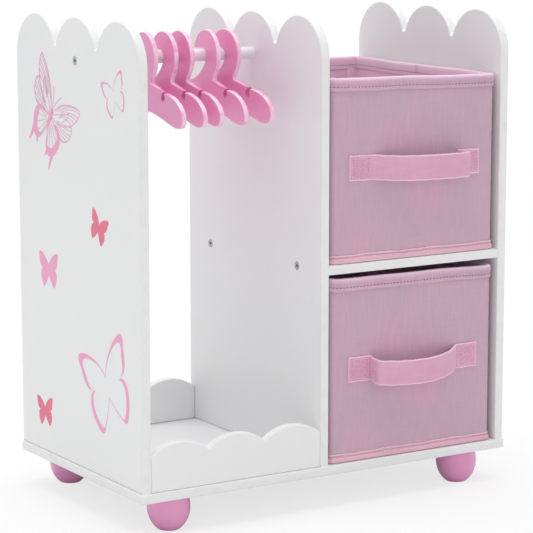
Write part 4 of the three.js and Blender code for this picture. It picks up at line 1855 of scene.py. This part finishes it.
        # Painted highlights on the top fold, the upper outer face and the fold near the lower edge.
        top_fold, outer_face, hem_fold = hump(up, 0.3, 1.1), hump(up, -1.0, 2.6), hump(up, 2.4 - hem, 1.8)
        pale_wash_and_highlight = top_fold + 0.4 * outer_face + 0.2 * hem_fold
        # Painted shadow line along the lower edge outside; the inside painted pale against the bin's shade;
        # the painted highlights.
        mark = hump(up, -hem, 0.55) * (out > 0) - np.where(out < -wall / 2, 1.0, pale_wash_and_highlight)
        surface = self.ring.swept(outwards, self.top + up + self.lift + wander, mark[:, 0])
        return self.part("rim_binding", surface, BINDING_CLOTH, "hem")

    @staticmethod
    def smoothed(profile: np.ndarray, times: int) -> np.ndarray:
        """Rounds a closed profile by cutting its corners.

        Args:
            profile: The profile's points.
            times: How often every side is cut at a quarter and three quarters of its length.

        Returns:
            The rounder profile.
        """
        for _ in range(times):
            after = np.roll(profile, -1, 0)
            cuts = [0.75 * profile + 0.25 * after, 0.25 * profile + 0.75 * after]
            profile = np.stack(cuts, 1).reshape(-1, 2)
        return profile

    def foot_binding(self) -> bpy.types.Object:
        """Makes the rolled binding round the foot: a soft roll, a sewn groove and a raised edge.

        Its section is a polygon whose corners are cut twice. Two sines let its height wave, more
        the higher up, and a quick sine that fades from the front left corner gathers it there.

        Returns:
            The binding.
        """
        ring, high = self.ring, self.piping
        profile = np.array(((0.1, 0.15), (1.0, 0.1), (1.8, 0.7), (2.1, high * 0.3), (1.9, high * 0.55),
                            (1.3, high * 0.7), (0.1, high * 0.78), (0.1, high * 0.85), (1.0, high * 0.93),
                            (1.3, high * 1.04), (0.8, high * 1.12), (0.15, high * 1.12), (0.1, high * 0.5)))
        dense = self.smoothed(profile, 2)
        out, share = dense[:, :1], dense[:, 1:] / high
        swell = self.pillow(np.array([[0.03]]))
        ripples = 0.35 * np.sin(ring.at * 0.09 + self.phase) + 0.2 * np.sin(ring.at * 0.23)
        near = np.hypot(ring.points[:, 0] - self.middle[0] + self.width / 2, ring.points[:, 1] - self.front)
        gather_reach = 14
        gathered = 0.5 * np.sin(ring.at * 0.9) * np.exp(-near / gather_reach)
        heights = self.floor + (high + ripples + gathered) * share
        # Painted shade in the sewn groove, and a painted highlight along the raised edge at the top.
        mark = hump(share, 0.82, 0.1) - 0.8 * hump(share, 1.06, 0.09)
        surface = ring.swept(out * (1 + 0.4 * gathered) + swell, heights, mark[:, 0])
        return self.part("foot_binding", surface, FOOT_CLOTH, "piping")

    def floor_cloth(self) -> None:
        """Makes the cloth-covered floor under the loose card."""
        play = 0.4
        outline = rounded_rectangle(self.width - play, self.depth - play, self.corner)
        slab = board(outline, thickness=2.0, round_edge=0.5, steps=2)
        corners = [slab.points[list(face)][:, :2] * METRES for face in slab.faces]
        slab = Surface(slab.points, slab.faces, np.vstack(corners), slab.flat)
        made = self.part("floor", slab.moved(LEVEL, (*self.middle, self.floor)), BIN_CLOTH, crease=35)
        flat = (self.width * METRES, self.depth * METRES)

    def corner_tapes(self) -> None:
        """Makes the tapes that bind the upright seams inside, one along each front and back wall end.

        Across, a tape stands off the wall by half a sine's arch, and upwards it waves by a sine.
        """
        half = self.width / 2 - self.wall - 1.2
        tape_width, points_across, rows, yarns_apart = 11.0, 12, 40, 0.9
        loop = 2 * points_across
        across = np.linspace(0, tape_width, points_across)
        stand = 0.75 + 0.35 * np.sin(across / tape_width * math.pi)
        z = np.linspace(self.floor + 4.5, self.top - self.hem + 1.0, rows)
        wave = 0.08 * np.sin(z * 0.21 + self.phase)
        uv = np.stack(np.meshgrid(np.arange(loop + 1) * yarns_apart, z), 2) * METRES
        tapes = []
        for y, way in ((self.middle[1] + self.depth / 2 - self.wall, -1), (self.front + self.wall, 1)):
            for side in (-1, 1):
                u = self.middle[0] + side * (half - across)
                lifted = y + way * (stand + wave[:, None])
                face = np.stack(np.broadcast_arrays(u, lifted, z[:, None]), 2)
                back = np.stack(np.broadcast_arrays(u, y + way * 0.2, z[:, None]), 2)
                tape = grid(np.concatenate([face, back[:, ::-1]], 1), uv, wrap_columns=True)
                tapes.append(with_ends(tape, loop))
        cloth = joined(tapes)
        # The tapes take the pale colour all over: a paler tape, lifted further as painted light against the
        # shade inside the bin.
        cloth.mark = np.full(len(cloth.points), -1.0)
        made = self.part("corner_tapes", cloth, BINDING_CLOTH)

    def strap_line(self) -> tuple[np.ndarray, np.ndarray]:
        """Works out the strap's middle line from above: two straight ends and Bezier curves between.

        Returns:
            Its points, as place from the bin's middle and distance off the wall's face, and the
            share of the sag at each point.
        """
        half = self.strap_span / 2
        inner = half - self.patch
        left = levelled(np.linspace(-half, -inner, SEWN_POINTS)[:, None])
        right = levelled(np.linspace(inner, half, SEWN_POINTS)[:, None])
        steps = 18
        loop = chained((-inner, 0.0), [(knots, steps) for knots in self.bow])
        line = np.vstack([left, loop[1:], right[1:]])
        along = walked(line)
        start, stop = along[SEWN_POINTS - 1], along[-SEWN_POINTS]
        t = np.clip((along - start) / (stop - start), 0, 1)
        return line, np.sin(math.pi * t) ** 0.75

    def strap(self) -> None:
        """Makes the pull strap: a flat band, sewn down at both ends, with its loop standing off.

        Its section is carried along the middle line, let out by the thickness along the mitres. The
        section thins to its edges by a square root, with a woven ridge beside each, and cups by the
        square of the place across where the loop hangs free. Two sines fray its edges slightly.
        """
        line, share = self.strap_line()
        front = self.ring.side == 2
        x = line[:, 0] + self.middle[0]
        stand = self.pillow(np.array([[0.5]]))[0]
        off_wall = np.interp(x, self.ring.points[front, 0], stand[front])
        half, gap = self.strap_thickness / 2, 0.05
        plan = np.column_stack([x, self.front - line[:, 1] - off_wall - half - gap])
        points_across = 17
        loop = 2 * points_across
        across = np.linspace(-1, 1, points_across)
        across = np.concatenate([across, across[::-1]])
        face = np.repeat((1.0, -1.0), points_across)
        lift = self.strap_width / 2 * across
        edge_slope, edge_least, ridge = 14, 0.35, 0.14
        thinned = np.clip((1 - np.abs(across)) * edge_slope, edge_least, 1) ** 0.5
        thick = face * (half * thinned + ridge * hump(np.abs(across), 0.88, 0.05))
        curl = 0.7 * share[:, None] * across**2
        flat = plan[:, None] + mitres(plan, closed=False)[:, None] * (thick - curl)[..., None]
        along = walked(plan)
        frayed = 0.18 * np.sin(along * 0.37 + self.phase) + 0.12 * np.sin(along * 1.1)
        slant = np.interp(line[:, 0], (-self.strap_span / 2, self.strap_span / 2), self.strap_lift)
        middle_height = self.floor + self.height / 2 + slant
        level = middle_height - self.sag * share
        high = level[:, None] + lift + np.sign(lift) * frayed[:, None]
        points = np.concatenate([flat, high[..., None]], 2)
        edge = self.strap_width / 2
        around = np.concatenate([lift[:points_across], 2 * edge - lift[points_across:], [3 * edge]])
        uv = np.stack(np.meshgrid(around, along)[::-1], 2) * METRES
        surface = with_ends(grid(points, uv, wrap_columns=True), loop)
        sewn = (np.abs(line[:, 0]) > self.strap_span / 2 - self.patch + 0.5) & (line[:, 1] < 0.5)
        mark = np.where(sewn, 1.0, 0.0)
        mark[[0, -1]] = -1.0
        surface.mark = np.repeat(mark, loop)
        made = self.part("pull_strap", surface, STRAP_CLOTH, "strap")
        thread = self.patch_stitches(line, off_wall, middle_height)

    def patch_stitches(self, line: np.ndarray, off_wall: np.ndarray, height: np.ndarray) -> bpy.types.Object:
        """Sews a square into each end of the strap.

        Args:
            line: The strap's middle line.
            off_wall: How far the wall's cloth stands out along it.
            height: Height of the strap's middle along it.

        Returns:
            The threads.
        """
        half_span, inset = self.strap_span / 2, 2.6
        tall = self.strap_width / 2 - inset
        far, near = half_span - inset, half_span - self.patch + inset
        corners = np.array(((far, -tall), (far, tall), (near, tall), (near, -tall), (far, -tall)))
        walk = np.linspace(0, 1, 12)[:, None]
        sewn = np.vstack([a + (b - a) * walk for a, b in zip(corners[:-1], corners[1:])])
        rows = []
        for side, ends in ((-1, slice(0, SEWN_POINTS)), (1, slice(-SEWN_POINTS, None))):
            x = sewn[:, 0] * side
            out = np.interp(x, line[ends, 0], off_wall[ends])
            y = self.front - out - self.strap_thickness - 0.1
            z = sewn[:, 1] + np.interp(x, line[ends, 0], height[ends])
            placed = np.column_stack([x + self.middle[0], y, z])
            rows.append(stitches(placed, (0, -1, 0), pitch=3.0, length=2.6, width=0.8))
        return self.part("strap_stitches", joined(rows), STRAP_THREAD, crease=80)

    def seams(self) -> bpy.types.Object:
        """Sews the rim binding down, outside and inside, and closes it over the right wall.

        Returns:
            The threads.
        """
        ring, swell = self.ring, self.rim_swell
        height = self.top - self.seam + self.lift
        rows = []
        for out, way in ((1.25 + swell, 1.0), (-self.wall - 1.35 - 0.5 * swell, -1.0)):
            line = np.column_stack([ring.points + ring.out * out[:, None], height])
            facing = levelled(ring.out * way)
            rows.append(stitches(np.vstack([line, line[:1]]), np.vstack([facing, facing[:1]]),
                                 pitch=4.0, length=2.1, width=1.1))
        inner_face = self.middle[0] + self.width / 2 - self.wall - 1.6
        joint = np.linspace((inner_face, 0, self.top - self.hem + 1.5), (inner_face, 0, self.top - 1.0), 6)
        both_sides_of_joint = (131.0, 133.4)
        for y in both_sides_of_joint:
            placed = joint + (0, y, self.rim_lift[2] / 2)
            rows.append(stitches(placed, (-1, 0, 0), pitch=1.7, length=1.2, width=0.6))
        return self.part("rim_stitches", joined(rows), HEM_THREAD, crease=80)


LOWER_BOW = (
    ((-52.6, 3), (-52.3, 8), (-51.4, 12.2)),
    ((-50.9, 14.6), (-49, 14.9), (-46, 15)),
    ((-30, 15.6), (-10, 16.5), (4, 17)),
    ((22, 16.6), (38, 12), (52, 0)),
)
UPPER_BOW = (
    ((-48, 0.2), (-44, 4), (-38, 8)),
    ((-26, 15), (-14, 16.6), (6, 17)),
    ((26, 17.3), (52, 18.2), (56, 14)),
    ((58.5, 10.5), (51, 5), (52, 0)),
)
BINS = (
    FabricBin("lower_bin", 9.8, "base_board_painted", (4.4, 2.2, 0.5), LOWER_BOW, 6.4, (3.0, 2.7), 0.4),
    FabricBin("upper_bin", 208.4, "bin_shelf_painted", (0.9, -2.4, -0.6), UPPER_BOW, 1.4, (3.6, 1.5), 2.1),
)


# Studio


@dataclass(frozen=True)
class Lamp:
    """A square soft lamp that looks at a point.

    Attributes:
        name: Its name.
        place: Where it stands, in metres.
        size: Its side in metres.
        power: Its power in watts.
        aim: Where it looks, in metres.
    """

    name: str
    place: tuple[float, float, float]
    size: float
    power: float
    aim: tuple[float, float, float] = (0.0, 0.0, 0.24)

    def build(self) -> None:
        """Hangs the lamp."""
        light = bpy.data.lights.new(self.name, "AREA")
        light.size, light.energy = self.size, self.power
        made = shown(self.name, light)
        made.location = self.place
        made.rotation_euler = (Vector(self.aim) - Vector(self.place)).to_track_quat("-Z", "Y").to_euler()


@dataclass(frozen=True)
class Studio:
    """The camera, the pale floor, the sky and the lamps.

    Attributes:
        camera_place: The camera's place in metres.
        camera_turn: Its turn about each axis in degrees.
        lens: Its focal length in millimetres.
        sensor: Its sensor's width in millimetres.
        sky: Strength of the light from all round.
        floor_reach: How far the floor goes each way, in metres.
        lamps: The soft lamps.
    """

    camera_place: tuple[float, float, float] = (-1.20151, -1.93000, 0.60604)
    camera_turn: tuple[float, float, float] = (80.4751, 0.0, -31.8872)
    lens: float = 153.666
    sensor: float = 36.0
    sky: float = 0.62
    floor_reach: float = 9.0
    lamps: tuple[Lamp, ...] = (
        Lamp("front_lamp", (0.4, -5.0, 1.2), 4.4, 11),
        Lamp("back_left_lamp", (-3.4, 3.4, 2.0), 3.8, 8),
        Lamp("high_back_lamp", (-0.6, 3.2, 3.8), 3.9, 17),
        Lamp("top_lamp", (0.0, 0.0, 4.4), 3.6, 108),
    )

    def build(self) -> None:
        """Sets up the whole studio."""
        self.camera()
        self.floor()
        self.surroundings()
        for lamp in self.lamps:
            lamp.build()
        bpy.context.scene.view_settings.view_transform = "Standard"

    def camera(self) -> None:
        """Puts the camera where the photograph was taken from."""
        lens = bpy.data.cameras.new("camera")
        lens.lens, lens.sensor_width, lens.clip_start, lens.clip_end = self.lens, self.sensor, 0.05, 60.0
        made = shown("camera", lens)
        made.location = self.camera_place
        made.rotation_euler = [math.radians(angle) for angle in self.camera_turn]
        bpy.context.scene.camera = made

    def floor(self) -> None:
        """Lays a wide pale floor, which the camera sees fade to white away from the object."""
        shader = Shader(bpy.data.materials.new("studio_floor"))
        at = shader.point()
        seen = shader.wire(shader.node("LightPath"), "Is Camera Ray")
        far = shader.wire(shader.node("VectorMath", {0: at}, operation="LENGTH"), "Value")
        # Where the floor starts to whiten further, how fast, and its least share of white.
        fade_from, fade_rate, least_white = 0.3, 1.6, 0.7
        fade = shader.held((far - fade_from) * fade_rate) * (1 - least_white) + least_white
        pale = shader.blend(shader.noise(at, 30, 3), paint_mix(246, 246, 246), paint_mix(243, 243, 244))
        matt = {"Base Color": pale, "Roughness": 0.9, "Specular IOR Level": 0.1}
        matt = shader.wire(shader.node("BsdfPrincipled", matt))
        white = shader.wire(shader.node("Emission", {"Color": (1.0, 1.0, 1.0), "Strength": 1.0}))
        shader.close(shader.mix(seen, matt, shader.mix(fade, matt, white)))
        reach = self.floor_reach
        mesh = bpy.data.meshes.new("studio_floor")
        mesh.from_pydata([(x, y, 0) for y in (-reach, reach) for x in (-reach, reach)], [], [(0, 1, 3, 2)])
        mesh.materials.append(shader.owner)
        made = shown("studio_floor", mesh)

    def surroundings(self) -> None:
        """Makes the sky: plain light for the object, and pure white for what sees it."""
        shader = Shader(bpy.data.worlds.new("studio_sky"))
        bpy.context.scene.world = shader.owner
        path = shader.node("LightPath")
        sees = shader.wire(path, "Is Camera Ray")
        for ray in ("Is Glossy Ray", "Is Transmission Ray"):
            sees = shader.math("MAXIMUM", sees, shader.wire(path, ray))
        skies = [shader.node("Background", {"Color": (1.0, 1.0, 1.0), "Strength": strength})
                 for strength in (self.sky, 1.0)]
        shader.close(shader.mix(sees, *(shader.wire(sky) for sky in skies)), "World")


def main() -> None:
    """Builds the case, its butterflies, the hangers, the bins and the studio."""
    logging.basicConfig(level=logging.INFO, format="%(message)s")
    Carcass(SIZES).build()
    for butterfly in BUTTERFLIES:
        butterfly.build()
    for hanger in HANGERS:
        hanger.build()
    for fabric_bin in BINS:
        fabric_bin.build()
    Studio().build()


if __name__ == "__main__":
    main()
